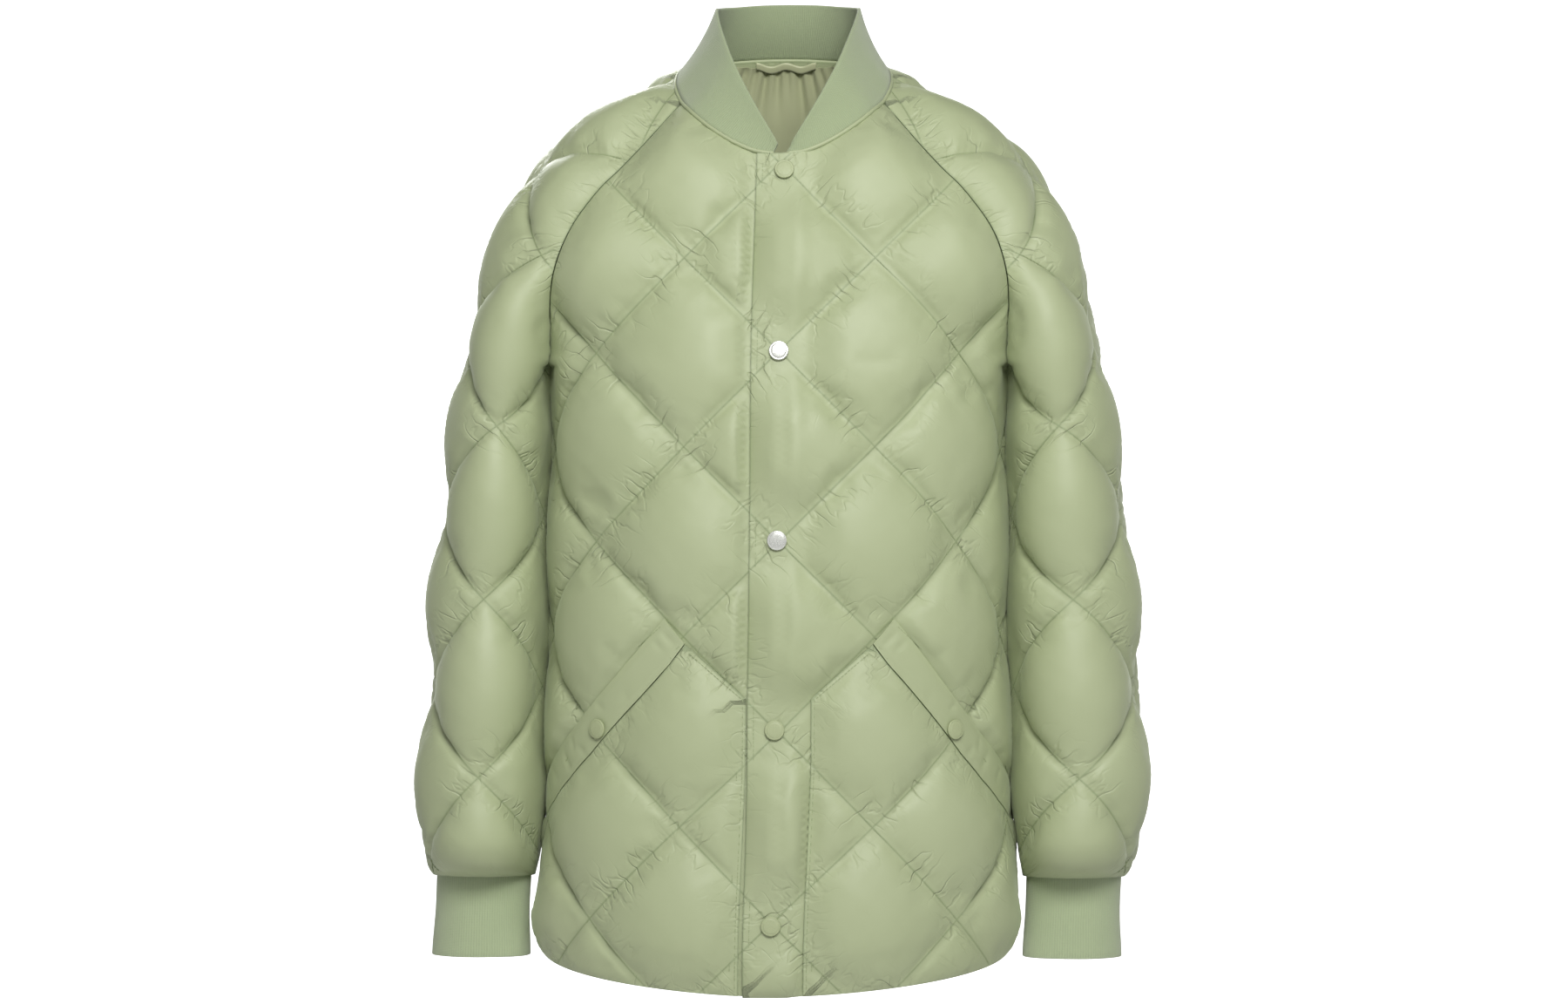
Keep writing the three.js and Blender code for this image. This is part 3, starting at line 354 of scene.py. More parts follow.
def body_arc(z, side):
    """A rounded section of the body, from the centre line to the side seam or raglan seam."""
    depth = read(BODY, "z", "front" if side < 0 else "back", z)
    above = z > UNDERARM_Z
    edge_y = np.maximum(0, read(raglan[side], "z", "y", z))
    share = np.minimum(SQUAREST, edge_y / depth) ** ROUNDNESS
    edge_half = read(raglan[side], "z", "x", z) / (1 - share) ** (1 / ROUNDNESS)
    half = np.where(above, edge_half, read(BODY, "z", "half", z))
    end = np.where(above, np.arctan2((1 - share) ** 0.5, share**0.5) * 2 / math.pi, 1.0)

    def point(turn):
        angle = turn * math.pi / 2
        x = half[:, None] * np.abs(np.sin(angle)) ** (2 / ROUNDNESS)
        y = side * depth[:, None] * np.abs(np.cos(angle)) ** (2 / ROUNDNESS)
        return np.stack([x, y, np.broadcast_to(z[:, None], x.shape)], -1)

    return point, end


def body_width(z, side):
    z = np.atleast_1d(np.asarray(z, float))
    point, end = body_arc(z, side)
    return along_arc(point, end, np.zeros(len(z)))[1]


def front_point(across, up):
    """The front's cloth at stitch level, across positive to the wearer's left."""
    point, end = body_arc(up, -1)
    found = along_arc(point, end, np.abs(across))[0]
    found[:, 0] *= np.where(across < 0, -1, 1)
    return found


def back_point(across, up):
    """The back's cloth at stitch level, across positive to the wearer's right."""
    point, end = body_arc(up, 1)
    found = along_arc(point, end, np.abs(across))[0]
    found[:, 0] *= np.where(across > 0, -1, 1)
    return found


def outward_of(surface, across, up):
    step = 1.5
    alongside = surface(across + step, up) - surface(across - step, up)
    upwards = surface(across, up + step) - surface(across, up - step)
    normal = np.cross(alongside, upwards)
    return normal / np.linalg.norm(normal, axis=1)[:, None]


def across_at(x, z, side):
    """How far across the cloth each place at this x and height is."""
    point, end = body_arc(z, side)
    turns = np.linspace(0, 1, 4 * ARC_STEPS + 1) * end[:, None]
    places = point(turns)
    steps = np.linalg.norm(np.diff(places, axis=1), axis=2)
    lengths = np.concatenate([np.zeros((len(z), 1)), np.cumsum(steps, 1)], 1)
    return np.array([np.interp(a, p[:, 0], l) for a, p, l in zip(x, places, lengths)])


def line(start, end, step=5):
    count = max(1, math.ceil(abs(end - start) / step))
    return np.linspace(start, end, count + 1)


def seam_inset(down):
    return 2 * SEAM + UNDERARM_SEAM * ease(1 - np.abs(down - UNDERARM_DOWN) / UNDERARM_SEAM_REACH)


RAGLAN_TOP = 1
raglan_downs = line(UNDERARM_DOWN, RAGLAN_TOP)


def raglan_edge(side):
    point, end = sleeve_arc(raglan_downs, side)
    z = point(end[:, None])[:, 0, 2]
    return np.stack([body_width(z, side) - seam_inset(raglan_downs), z], -1)


def hem_z(share, middle):
    return middle + (HEM_SIDE_Z - middle) * np.clip(share, 0, 1) ** HEM_CURVE


def closing(z):
    return read(CLOSING, "z", "x", z)


def flat(across, up):
    across, up = np.broadcast_arrays(across, up)
    return np.stack([across, up], -1).astype(float)


def front_outline(edge, on_right):
    """Flat outline of a front, from its closing edge along the hem, side, raglan seam and neck."""
    turn = -1 if on_right else 1
    start = edge + turn * closing(HEM_FRONT_Z)
    top = edge + turn * closing(NECK_FRONT["z"][0])
    hem_width = body_width(HEM_SIDE_Z, -1)[0] - SEAM
    hem = line(start, hem_width)
    side = line(HEM_SIDE_Z, UNDERARM_Z)[1:-1]
    neck = line(NECK_FRONT["x"][-1] - NECK_END, top)
    neck_z = read(NECK_FRONT, "x", "z", np.maximum(0, neck))
    neck_across = np.where(neck < 0, neck, across_at(np.maximum(neck, 0), neck_z, -1))
    closing_z = line(NECK_FRONT["z"][0], HEM_FRONT_Z)[1:-1]
    return np.concatenate([
        flat(hem, hem_z(np.maximum(0, hem) / hem_width, HEM_FRONT_Z)),
        flat(body_width(side, -1) - SEAM, side),
        raglan_edge(-1),
        flat(neck_across, neck_z - SEAM),
        flat(edge + turn * closing(closing_z), closing_z),
    ])


def mirrored_outline(outline):
    return (outline * [-1, 1])[::-1]


def nearest_on(outline, places):
    """Distance of each flat place to an outline, the nearest place on it, and how far round that is."""
    a, b = outline, np.roll(outline, -1, 0)
    run = b - a
    length = np.maximum((run**2).sum(1), 1e-9)
    passed = np.concatenate([[0], np.cumsum(np.sqrt(length))])
    best = np.full(len(places), np.inf)
    found = np.zeros_like(places)
    along = np.zeros(len(places))
    for k in range(len(a)):
        t = np.clip(((places - a[k]) @ run[k]) / length[k], 0, 1)
        spot = a[k] + t[:, None] * run[k]
        away = np.linalg.norm(places - spot, axis=1)
        closer = away < best
        best[closer] = away[closer]
        found[closer] = spot[closer]
        along[closer] = (passed[k] + t * np.sqrt(length[k]))[closer]
    return best, found, along


def inside(outline, places):
    a, b = outline, np.roll(outline, -1, 0)
    odd = np.zeros(len(places), bool)
    for (ax, ay), (bx, by) in zip(a, b):
        crosses = (ay > places[:, 1]) != (by > places[:, 1])
        if ay != by:
            odd ^= crosses & (places[:, 0] < ax + (places[:, 1] - ay) * (bx - ax) / (by - ay))
    return odd


BODY_QUILT = {"across": 0, "up": SNAP_HEIGHTS[1], "half_width": HALF_WIDTH, "half_height": HALF_HEIGHT}
CELLS = 24  # cells of cloth along each side of a diamond
CORNER_TURN = math.radians(28)
RIM_SMOOTHINGS = 3


def quilt_places(places, quilt):
    """Places counted in diamonds along the quilting's two directions."""
    p = (places[:, 0] - quilt["across"]) / quilt["half_width"]
    q = (places[:, 1] - quilt["up"]) / quilt["half_height"]
    return np.stack([(p + q) / 2, (p - q) / 2], -1)


def cut_cloth(outline, quilt):
    """Cloth on the quilting's own grid, cut along its outline, with the stitched-down corners marked."""
    ends = quilt_places(outline, quilt)
    low, high = np.floor(ends.min(0)).astype(int), np.ceil(ends.max(0)).astype(int)
    cells = (high - low) * CELLS
    bm = bmesh.new()
    bmesh.ops.create_grid(bm, x_segments=int(cells[0]), y_segments=int(cells[1]), size=0.5)
    steps = np.rint((np.array([v.co[:2] for v in bm.verts]) + 0.5) * cells).astype(int) + low * CELLS
    on_line = (steps % CELLS == 0).any(1)
    u, v = steps.T / CELLS
    across = quilt["across"] + quilt["half_width"] * (u + v)
    up = quilt["up"] + quilt["half_height"] * (u - v)
    stitched = bm.verts.layers.int.new("stitched")
    for vert, x, y, held in zip(bm.verts, across, up, on_line):
        vert.co = (x, y, 0)
        vert[stitched] = int(held)
    centres = np.array([face.calc_center_median()[:2] for face in bm.faces])
    kept = inside(outline, centres)
    outside = [face for face, keep in zip(bm.faces, kept) if not keep]
    bmesh.ops.delete(bm, geom=outside, context="FACES")
    spikes = [face for face in bm.faces if sum(edge.is_boundary for edge in face.edges) > 2]
    bmesh.ops.delete(bm, geom=spikes, context="FACES")
    edge_verts = [vert for vert in bm.verts if vert.is_boundary]
    places = np.array([vert.co[:2] for vert in edge_verts])
    spots = nearest_on(outline, places)[1]
    for vert, spot in zip(edge_verts, spots):
        vert.co[:2] = spot
        vert[stitched] = 1
    before, after = outline - np.roll(outline, 1, 0), np.roll(outline, -1, 0) - outline
    turn = np.arctan2(before[:, 0] * after[:, 1] - before[:, 1] * after[:, 0], (before * after).sum(1))
    for corner in outline[np.abs(turn) > CORNER_TURN]:
        nearest = int(np.linalg.norm(spots - corner, axis=1).argmin())
        edge_verts[nearest].co[:2] = corner
    rim = {v for vert in edge_verts for edge in vert.link_edges for v in edge.verts}
    loose = [vert for vert in rim if not vert[stitched]]
    for _ in range(RIM_SMOOTHINGS):
        bmesh.ops.smooth_vert(bm, verts=loose, factor=0.5, use_axis_x=True, use_axis_y=True)
    bmesh.ops.recalc_face_normals(bm, faces=bm.faces)
    if bm.faces[:][0].normal.z < 0:
        bmesh.ops.reverse_faces(bm, faces=bm.faces)
    bm.verts.index_update()
    return bm


FILLING_PRESSURE = 3.5
CLOTH_EASE = -0.012  # the cloth is this much larger than its place, so it wrinkles when it is filled
FILLING_FRAMES = 10


def blow_up(bm, pinned, start):
    """Where the cloth's points come to rest when the filling presses it out between its stitches."""
    mesh = bpy.data.meshes.new("filling")
    bm.to_mesh(mesh)
    mesh.vertices.foreach_set("co", start.ravel())
    cloth = bpy.data.objects.new("filling", mesh)
    scene.collection.objects.link(cloth)
    held = cloth.vertex_groups.new(name="stitched")
    held.add([int(i) for i in np.flatnonzero(pinned)], 1.0, "REPLACE")
    filling = cloth.modifiers.new("filling", "CLOTH")
    settings = filling.settings
    settings.vertex_group_mass = "stitched"
    settings.quality = 5
    settings.mass = 0.2
    settings.tension_stiffness = 20
    settings.compression_stiffness = 20
    settings.shear_stiffness = 8
    settings.bending_stiffness = 0.05
    settings.tension_damping = 5
    settings.compression_damping = 5
    settings.shear_damping = 5
    settings.bending_damping = 0.5
    settings.air_damping = 1
    settings.use_pressure = True
    settings.uniform_pressure_force = FILLING_PRESSURE
    settings.shrink_min = CLOTH_EASE
    settings.effector_weights.gravity = 0
    filling.point_cache.frame_start = 1
    filling.point_cache.frame_end = FILLING_FRAMES
    for number in range(1, FILLING_FRAMES + 1):
        scene.frame_set(number)
    filled = cloth.evaluated_get(bpy.context.evaluated_depsgraph_get())
    end = np.empty(len(mesh.vertices) * 3)
    filled.data.vertices.foreach_get("co", end)
    scene.frame_set(1)
    bpy.data.objects.remove(cloth)
    bpy.data.meshes.remove(mesh)
    return end.reshape(-1, 3)


def diamond(places, quilt):
    """Height of a filled diamond between its stitch lines, from 0 to 1."""
    u, v = quilt_places(places, quilt).T
    return np.sqrt(np.abs(np.sin(math.pi * u) * np.sin(math.pi * v)))


def sway(points):
    """The garment hangs a little to the wearer's right low down, and its sides do so higher up too."""
    out = np.abs(points[:, 0])
    lean = read(SIDE_LEAN, "z", "x", points[:, 2]) * ease((out - LEAN_START) / (LEAN_FULL - LEAN_START))
    lean *= 1 - ease((out - LEAN_FADE) / (LEAN_END - LEAN_FADE))
    points[:, 0] += read(SWAY, "z", "x", points[:, 2]) + lean
    return points


FIRST_RISE = 0.95  # the cloth starts this share of the way out, so that it all blows outwards
RIM_FILLING, RIM_ROUNDNESS = 34, 0.6
GATHER_DEPTH = 2.4
GATHER_START, GATHER_REACH = 7, 30
GATHER_LONG, GATHER_CLOSE = 1.9, 6.5
GATHER_FROM_RIM = 9


def gathers(places, quilt):
    """Soft creases that the stitches draw into the cloth, along both sides of every quilting line."""
    u, v = quilt_places(places, quilt).T
    side = math.hypot(quilt["half_width"], quilt["half_height"])
    total = np.zeros(len(places))
    for away, along, layer in ((u, v, 0.0), (v, u, 5.0)):
        spots = zip(GATHER_LONG * away, GATHER_CLOSE * along)
        wave = np.array([mathutils.noise.noise((a, b, layer)) for a, b in spots])
        distance = np.abs(away - np.rint(away)) * side
        total += wave * ease(distance / GATHER_START) * (1 - ease(distance / GATHER_REACH))
    return GATHER_DEPTH * total


def quilted_panel(name, node, outline, quilt, surface, lift, share, material, mirrored=False, free=None):
    """A filled panel: cut, laid on its form, blown up, and closed with its plain inner wall."""
    bm = cut_cloth(outline, quilt)
    stitched = bm.verts.layers.int["stitched"]
    places = np.array([vert.co[:2] for vert in bm.verts])
    pinned = np.array([vert[stitched] for vert in bm.verts]) > 0
    bm.verts.layers.int.remove(stitched)
    if free is not None:
        pinned |= ~free(places)
    across, up = places.T
    outward = outward_of(surface, across, up)
    cloth = surface(across, up) + outward * lift(places)[:, None]
    edge_away, _, edge_along = nearest_on(outline, places)
    rise = PUFF * diamond(places, quilt) * np.minimum(1, edge_away / RIM_FILLING) ** RIM_ROUNDNESS
    rise[pinned] = 0
    wall = cloth - outward * WALL
    flip = np.array([-1 if mirrored else 1, 1, 1])
    if mirrored:
        bmesh.ops.reverse_faces(bm, faces=bm.faces)
    outward, cloth, wall = outward * flip, sway(cloth * flip), sway(wall * flip)
    start = (cloth + outward * (rise * FIRST_RISE)[:, None]) * MM
    filled = blow_up(bm, pinned, start) / MM
    filled += outward * (gathers(places, quilt) * ease(edge_away / GATHER_FROM_RIM))[:, None]
    outer = cloth + (filled - cloth) * share(places, edge_away)[:, None]
    maps = {
        "cloth": places * MM,
        "quilt": quilt_places(places, quilt),
        "seam": np.stack([edge_away, edge_along], -1) * MM,
    }
    piece = close_wall(name, bm, outer * MM, wall * MM, maps)
    finish_piece(piece, material, "shell", node)


def finish_piece(piece, material, slot, *nodes):
    """Gives a piece its material, and its place in the part."""
    piece.data.materials.append(material)
    scene.collection.objects.link(piece)
    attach(piece, "root")
    if nodes:
        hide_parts(*nodes)


def close_wall(name, bm, outer, inner, maps):
    """Gives the cloth its wall, sets both faces in place and writes its UV maps."""
    place = bm.verts.layers.int.new("place")
    for index, vert in enumerate(bm.verts):
        vert[place] = index
    outer_faces = set(bm.faces)
    grown = bmesh.ops.extrude_face_region(bm, geom=list(outer_faces), use_keep_orig=True)["geom"]
    inner_verts = [g for g in grown if isinstance(g, bmesh.types.BMVert)]
    flat_faces = outer_faces | {g for g in grown if isinstance(g, bmesh.types.BMFace)}
    for vert in bm.verts:
        vert.co = outer[vert[place]]
    for vert in inner_verts:
        vert.co = inner[vert[place]]
    sides = [face for face in bm.faces if face not in flat_faces]
    for face in bm.faces:
        face.smooth = True
    for face in sides:
        for edge in face.edges:
            edge.smooth = False
    bmesh.ops.recalc_face_normals(bm, faces=bm.faces)
    if bm.calc_volume(signed=True) < 0:
        bmesh.ops.reverse_faces(bm, faces=bm.faces)
    mesh = bpy.data.meshes.new(name)
    bm.to_mesh(mesh)
    bm.free()
    index = np.empty(len(mesh.vertices), int)
    mesh.attributes["place"].data.foreach_get("value", index)
    corners = np.empty(len(mesh.loops), int)
    mesh.loops.foreach_get("vertex_index", corners)
    at = index[corners]
    for label, values in maps.items():
        layer = mesh.uv_layers.new(name=label)
        layer.uv.foreach_set("vector", values[at].ravel())
    mesh.attributes.remove(mesh.attributes["place"])
    return bpy.data.objects.new(name, mesh)


def new_group(name, inputs, outputs):
    """A node group with float inputs and outputs, and its input and output nodes."""
    group = bpy.data.node_groups.new(name, "ShaderNodeTree")
    for label, default in inputs.items():
        socket = group.interface.new_socket(label, in_out="INPUT", socket_type="NodeSocketFloat")
        socket.default_value = default
    for label, kind in outputs.items():
        group.interface.new_socket(label, in_out="OUTPUT", socket_type=kind)
    return group, group.nodes.new("NodeGroupInput"), group.nodes.new("NodeGroupOutput")


def value_of(group, node, socket):
    """Feeds a socket from another socket, or sets it to a plain value."""
    if isinstance(node, bpy.types.NodeSocket):
        group.links.new(node, socket)
    else:
        socket.default_value = node


def math_node(group, operation, *values):
    node = group.nodes.new("ShaderNodeMath")
    node.operation = operation
    for value, socket in zip(values, node.inputs):
        value_of(group, value, socket)
    return node.outputs[0]


def noise(group, vector, scale, detail=2.0, roughness=0.5):
    node = group.nodes.new("ShaderNodeTexNoise")
    node.inputs["Detail"].default_value = detail
    node.inputs["Roughness"].default_value = roughness
    value_of(group, scale, node.inputs["Scale"])
    group.links.new(vector, node.inputs["Vector"])
    return node.outputs["Fac"]


def map_range(group, value, low, high, to_low, to_high):
    node = group.nodes.new("ShaderNodeMapRange")
    node.interpolation_type = "SMOOTHSTEP"
    group.links.new(value, node.inputs["Value"])
    for socket, number in zip(RANGE_SOCKETS, (low, high, to_low, to_high)):
        node.inputs[socket].default_value = number
    return node.outputs["Result"]


def uv_map(tree, name):
    node = tree.nodes.new("ShaderNodeUVMap")
    node.uv_map = name
    return node.outputs["UV"]


def stretched_place(group, away, away_scale, along, along_scale):
    """A place for noise from two distances, each times its own scale."""
    place = group.nodes.new("ShaderNodeCombineXYZ")
    group.links.new(math_node(group, "MULTIPLY", away, away_scale), place.inputs[0])
    group.links.new(math_node(group, "MULTIPLY", along, along_scale), place.inputs[1])
    return place.outputs[0]


def pucker_group():
    """Little gathers that run off the quilting lines and seams, in a height in metres; and painted shade
    along them.
    """
    group, given, result = new_group(
        "stitch_puckers",
        {"Along": 6.2, "Reach": 0.3, "Depth": 0.0017, "Seams": 0.55, "Slack": 0.0011, "Diamond": 0.112},
        {"Height": "NodeSocketFloat", "Groove_Painted_Shade": "NodeSocketFloat"},
    )
    quilt = group.nodes.new("ShaderNodeSeparateXYZ")
    group.links.new(uv_map(group, "quilt"), quilt.inputs[0])
    seam = group.nodes.new("ShaderNodeSeparateXYZ")
    group.links.new(uv_map(group, "seam"), seam.inputs[0])
    u, v = quilt.outputs[0], quilt.outputs[1]
    from_seam, along_seam = (
        math_node(group, "DIVIDE", part, given.outputs["Diamond"]) for part in seam.outputs[:2]
    )
    height, groove_painted_shade = 0.0, 0.0
    for away, along in ((u, v), (v, u)):
        slack = stretched_place(group, away, 1.1, along, 3.2)
        fold = math_node(group, "SUBTRACT", noise(group, slack, 1.3, 1.5), 0.5)
        fold = math_node(group, "MULTIPLY", fold, given.outputs["Slack"])
        height = math_node(group, "ADD", height, fold)
    for away, along, distance, share in (
        (u, v, math_node(group, "PINGPONG", u, 0.5), 1.0),
        (v, u, math_node(group, "PINGPONG", v, 0.5), 1.0),
        (from_seam, along_seam, from_seam, given.outputs["Seams"]),
    ):
        stretched = stretched_place(group, away, 2.6, along, given.outputs["Along"])
        wave = math_node(group, "SUBTRACT", noise(group, stretched, 1.0, 2.0), 0.5)
        crease = map_range(group, math_node(group, "ABSOLUTE", wave), 0.0, 0.035, -0.35, 0.0)
        wrinkle = math_node(group, "ADD", math_node(group, "MULTIPLY", wave, 1.6), crease)
        place = stretched_place(group, away, 1.0, along, 1.0)
        gathered = map_range(group, noise(group, place, 2.3, 1.0), 0.42, 0.62, 0.1, 1.5)
        gone = math_node(group, "DIVIDE", distance, given.outputs["Reach"])
        near = math_node(group, "MAXIMUM", math_node(group, "SUBTRACT", 1.0, gone), 0.0)
        rise = math_node(group, "MULTIPLY", wrinkle, math_node(group, "POWER", near, 1.5))
        for factor in (share, gathered, given.outputs["Depth"]):
            rise = math_node(group, "MULTIPLY", rise, factor)
        height = math_node(group, "ADD", height, rise)
        # painted shade: a narrow band along each quilting line and seam, darkest right on it
        groove_painted_shade = math_node(group, "MAXIMUM", groove_painted_shade, map_range(group, distance, 0.0, 0.013, 1.0, 0.0))
    group.links.new(height, result.inputs["Height"])
    group.links.new(groove_painted_shade, result.inputs["Groove_Painted_Shade"])
    return group


def satin_weave_group():
    """The fine uneven face of a satin weave: a height in metres, and a slow drift of shade."""
    group, given, result = new_group(
        "satin_weave",
        {"Thread": 2400, "Depth": 0.00002},
        {"Height": "NodeSocketFloat", "Drift": "NodeSocketFloat"},
    )
    cloth = uv_map(group, "cloth")
    stretch = group.nodes.new("ShaderNodeMapping")
    stretch.inputs["Scale"].default_value = (1, 0.28, 1)
    group.links.new(cloth, stretch.inputs["Vector"])
    thread = noise(group, stretch.outputs[0], given.outputs["Thread"], 1.0)
    group.links.new(math_node(group, "MULTIPLY", thread, given.outputs["Depth"]), result.inputs["Height"])
    place = group.nodes.new("ShaderNodeTexCoord").outputs["Object"]
    group.links.new(noise(group, place, 9.0, 3.0, 0.55), result.inputs["Drift"])
    return group


PUCKERS = pucker_group()
SATIN_WEAVE = satin_weave_group()
SHELL_GREEN = (0.43, 0.48, 0.29, 1)
SHELL_SHADE = (0.37, 0.42, 0.235, 1)
GROOVE_PAINTED_SHADE = (0.24, 0.3, 0.16, 1)


def place_group(tree, group):
    node = tree.nodes.new("ShaderNodeGroup")
    node.node_tree = group
    return node


MIX_FIRST, MIX_SECOND, MIX_RESULT = 6, 7, 2  # the Mix node's colour sockets


def mix_colours(tree, factor, first, second):
    node = tree.nodes.new("ShaderNodeMix")
    node.data_type = "RGBA"
    value_of(tree, factor, node.inputs["Factor"])
    value_of(tree, first, node.inputs[MIX_FIRST])
    value_of(tree, second, node.inputs[MIX_SECOND])
    return node.outputs[MIX_RESULT]


def add_bump(tree, shader, height):
    bump = tree.nodes.new("ShaderNodeBump")
    bump.inputs["Distance"].default_value = 1.0
    tree.links.new(height, bump.inputs["Height"])
    tree.links.new(bump.outputs["Normal"], shader.inputs["Normal"])


def shade_of(colour, share):
    return tuple(share * part for part in colour[:3]) + (1,)


def satin_material():
    """Filled satin shell: a soft sheen, puckers at its quilting and painted shade along its lines and
    seams.
    """
    material, tree, shader = new_material("shell_satin")
    puckers, weave = place_group(tree, PUCKERS), place_group(tree, SATIN_WEAVE)
    tone = mix_colours(tree, weave.outputs["Drift"], SHELL_GREEN, SHELL_SHADE)
    # painted shade: the cloth's green is mixed towards a dark green along the lines and seams
    groove_painted_shade = math_node(tree, "MULTIPLY", puckers.outputs["Groove_Painted_Shade"], 0.6)
    tree.links.new(mix_colours(tree, groove_painted_shade, tone, GROOVE_PAINTED_SHADE), shader.inputs["Base Color"])
    roughness = map_range(tree, weave.outputs["Drift"], 0.3, 0.7, 0.5, 0.58)
    tree.links.new(roughness, shader.inputs["Roughness"])
    shader.inputs["Sheen Weight"].default_value = 0.2
    shader.inputs["Sheen Roughness"].default_value = 0.4
    shader.inputs["Sheen Tint"].default_value = (0.85, 0.95, 0.7, 1)
    add_bump(tree, shader, math_node(tree, "ADD", puckers.outputs["Height"], weave.outputs["Height"]))
    return material


SATIN = satin_material()

# Places on the front that other pieces cover, and where its filling has to stay low.
SIDE_MEETING = 4.3
MEETING_REACH, MEETING_ABOVE, MEETING_RISE = 45, 22, 26
MEETING_END = 40
FORK_FILLING, FORK_BELOW, FORK_REACH = 0.75, 12, 14
SIDE_PRESS_START, SIDE_PRESS_REACH, SIDE_PRESS_END = 30, 60, 50
PRESS_BELOW_UNDERARM = 60
PRESS_FROM_SEAM = 8
COVER_REACH, COVER_ROUNDNESS = 7, 0.6
POCKET_FRONT_EDGE = 27
POCKET_CORNER_Z = -547
POCKET_SIDE_MARGIN = 3
POCKET_SIDE_END = 8
POCKET_LIFT = 3
POCKET_HEM_LIFT = 0.6
POCKET_TO_WELT = [0.3, 0.5]
WELT_MARGIN = 0.5
WELT = table(
    "in_across in_up out_across out_up",
    (78, -502, 96, -481),
    (91, -519, 115, -503),
    (116, -546, 138, -529),
    (140, -571, 162, -554),
    (163, -595, 184, -575),
    (189, -617, 208, -593),
    (218, -637, 234, -610),
    (249, -652, 261, -623),
)
welt_inner = np.stack([WELT["in_across"], WELT["in_up"]], -1)
welt_outer = np.stack([WELT["out_across"], WELT["out_up"]], -1)


def pocket_outline():
    """Flat outline of a patch pocket, inside its welt's inner edge and the side seam."""
    hem_width = body_width(HEM_SIDE_Z, -1)[0] - POCKET_SIDE_MARGIN
    hem = line(POCKET_FRONT_EDGE, hem_width)
    side = line(HEM_SIDE_Z + POCKET_SIDE_END, welt_inner[-1, 1] - POCKET_SIDE_END)
    corner = flat(POCKET_FRONT_EDGE, POCKET_CORNER_Z)[None]
    opening = np.concatenate([(welt_inner - POCKET_TO_WELT)[::-1], corner])
    return np.concatenate([
        flat(hem, hem_z(hem / hem_width, HEM_FRONT_Z) + POCKET_HEM_LIFT),
        flat(body_width(side, -1) - POCKET_SIDE_MARGIN, side),
        opening,
    ])


pocket = pocket_outline()
pocket_and_welt = np.concatenate([
    pocket[: -len(welt_inner) - 1],
    welt_outer[::-1],
    welt_inner[:1],
    pocket[-1:],
])


def side_share(places, side):
    """Less filling at the body's side, where the sleeve presses on it."""
    across, up = places.T
    from_side = body_width(up, side) - np.abs(across)
    beside = 1 - ease((from_side - SIDE_PRESS_START) / SIDE_PRESS_REACH)
    pressed = beside * ease((up - SLEEVE_END_Z) / SIDE_PRESS_END)
    room = SIDE_PUFF / PUFF * np.clip((UNDERARM_Z - up) / PRESS_BELOW_UNDERARM, 0, 1)
    return np.where(up < UNDERARM_Z, 1 + (room - 1) * pressed, 1)


def snap_share(places):
    away = np.min([np.hypot(places[:, 0] - closing(z), places[:, 1] - z) for z in SNAP_HEIGHTS], 0)
    return ease(away / SNAP_REACH)


def meeting(from_seam, below_underarm):
    """Under the arms the filled cloth of body and sleeve bulges until the two lie together."""
    fork = 1 + FORK_FILLING * np.exp(-(((below_underarm - FORK_BELOW) / FORK_REACH) ** 2))
    near = (1 - ease(from_seam / MEETING_REACH)) * ease((below_underarm + MEETING_ABOVE) / MEETING_RISE)
    return SIDE_MEETING * fork * near


def side_meeting(side):
    def lift(places):
        across, up = places.T
        reach = ease((up - SLEEVE_END_Z) / MEETING_END)
        return meeting(body_width(up, side) - np.abs(across), UNDERARM_Z - up) * reach

    return lift


def underarm_press(outline, underarm):
    """Body and sleeve give way to each other beside the underarm, and less so at the seams."""

    def press(places):
        away = np.hypot(np.abs(places[:, 0]) - abs(underarm[0]), places[:, 1] - underarm[1])
        share = np.clip(UNDERARM_SEAM_SHARE + nearest_on(outline, places)[0] / PRESS_FROM_SEAM, 0, 1)
        return -UNDERARM_PRESS * (1 - ease(away / UNDERARM_REACH)) * share

    return press


def flap_lift(places):
    beyond = (places[:, 0] - closing(places[:, 1]) - FLAP_FLAT) / (FLAP_DOWN - FLAP_FLAT)
    return FLAP_LIFT * (1 - ease(beyond))


def uncovered(places, turn, start):
    """Where a front is free to fill: outside the pocket and its welt, and clear of the closing."""
    out = flat(np.abs(places[:, 0]), places[:, 1])
    from_edge = (places[:, 0] - closing(places[:, 1])) * turn - start
    return ~inside(pocket_and_welt, out) & (from_edge > 0)


def covered_share(places):
    out = flat(np.abs(places[:, 0]), places[:, 1])
    clear = (nearest_on(pocket_and_welt, out)[0] - WELT_MARGIN) / COVER_REACH
    return np.clip(clear, 0, 1) ** COVER_ROUNDNESS


def front_share(places, edge_away):
    return side_share(places, -1) * snap_share(places) * covered_share(places)


STITCH_PITCH = 3.4
STITCH_LENGTH = 2.5
STITCH_WIDTH = 0.6
STITCH_HEIGHT = 0.5
STITCH_EDGE = 4  # quilting stops this far short of a panel's own edge
THREAD_GREEN = (0.33, 0.39, 0.21, 1)


def thread_material():
    material, tree, shader = new_material("sewing_thread")
    place = tree.nodes.new("ShaderNodeTexCoord").outputs["Object"]
    strands = noise(tree, place, 1500, 2.0)
    tone = mix_colours(tree, strands, THREAD_GREEN, shade_of(THREAD_GREEN, 0.8))
    tree.links.new(tone, shader.inputs["Base Color"])
    tree.links.new(map_range(tree, strands, 0.3, 0.7, 0.5, 0.65), shader.inputs["Roughness"])
    return material


THREAD = thread_material()


def lengths_of(points):
    return np.concatenate([[0], np.cumsum(np.linalg.norm(np.diff(points, axis=0), axis=1))])


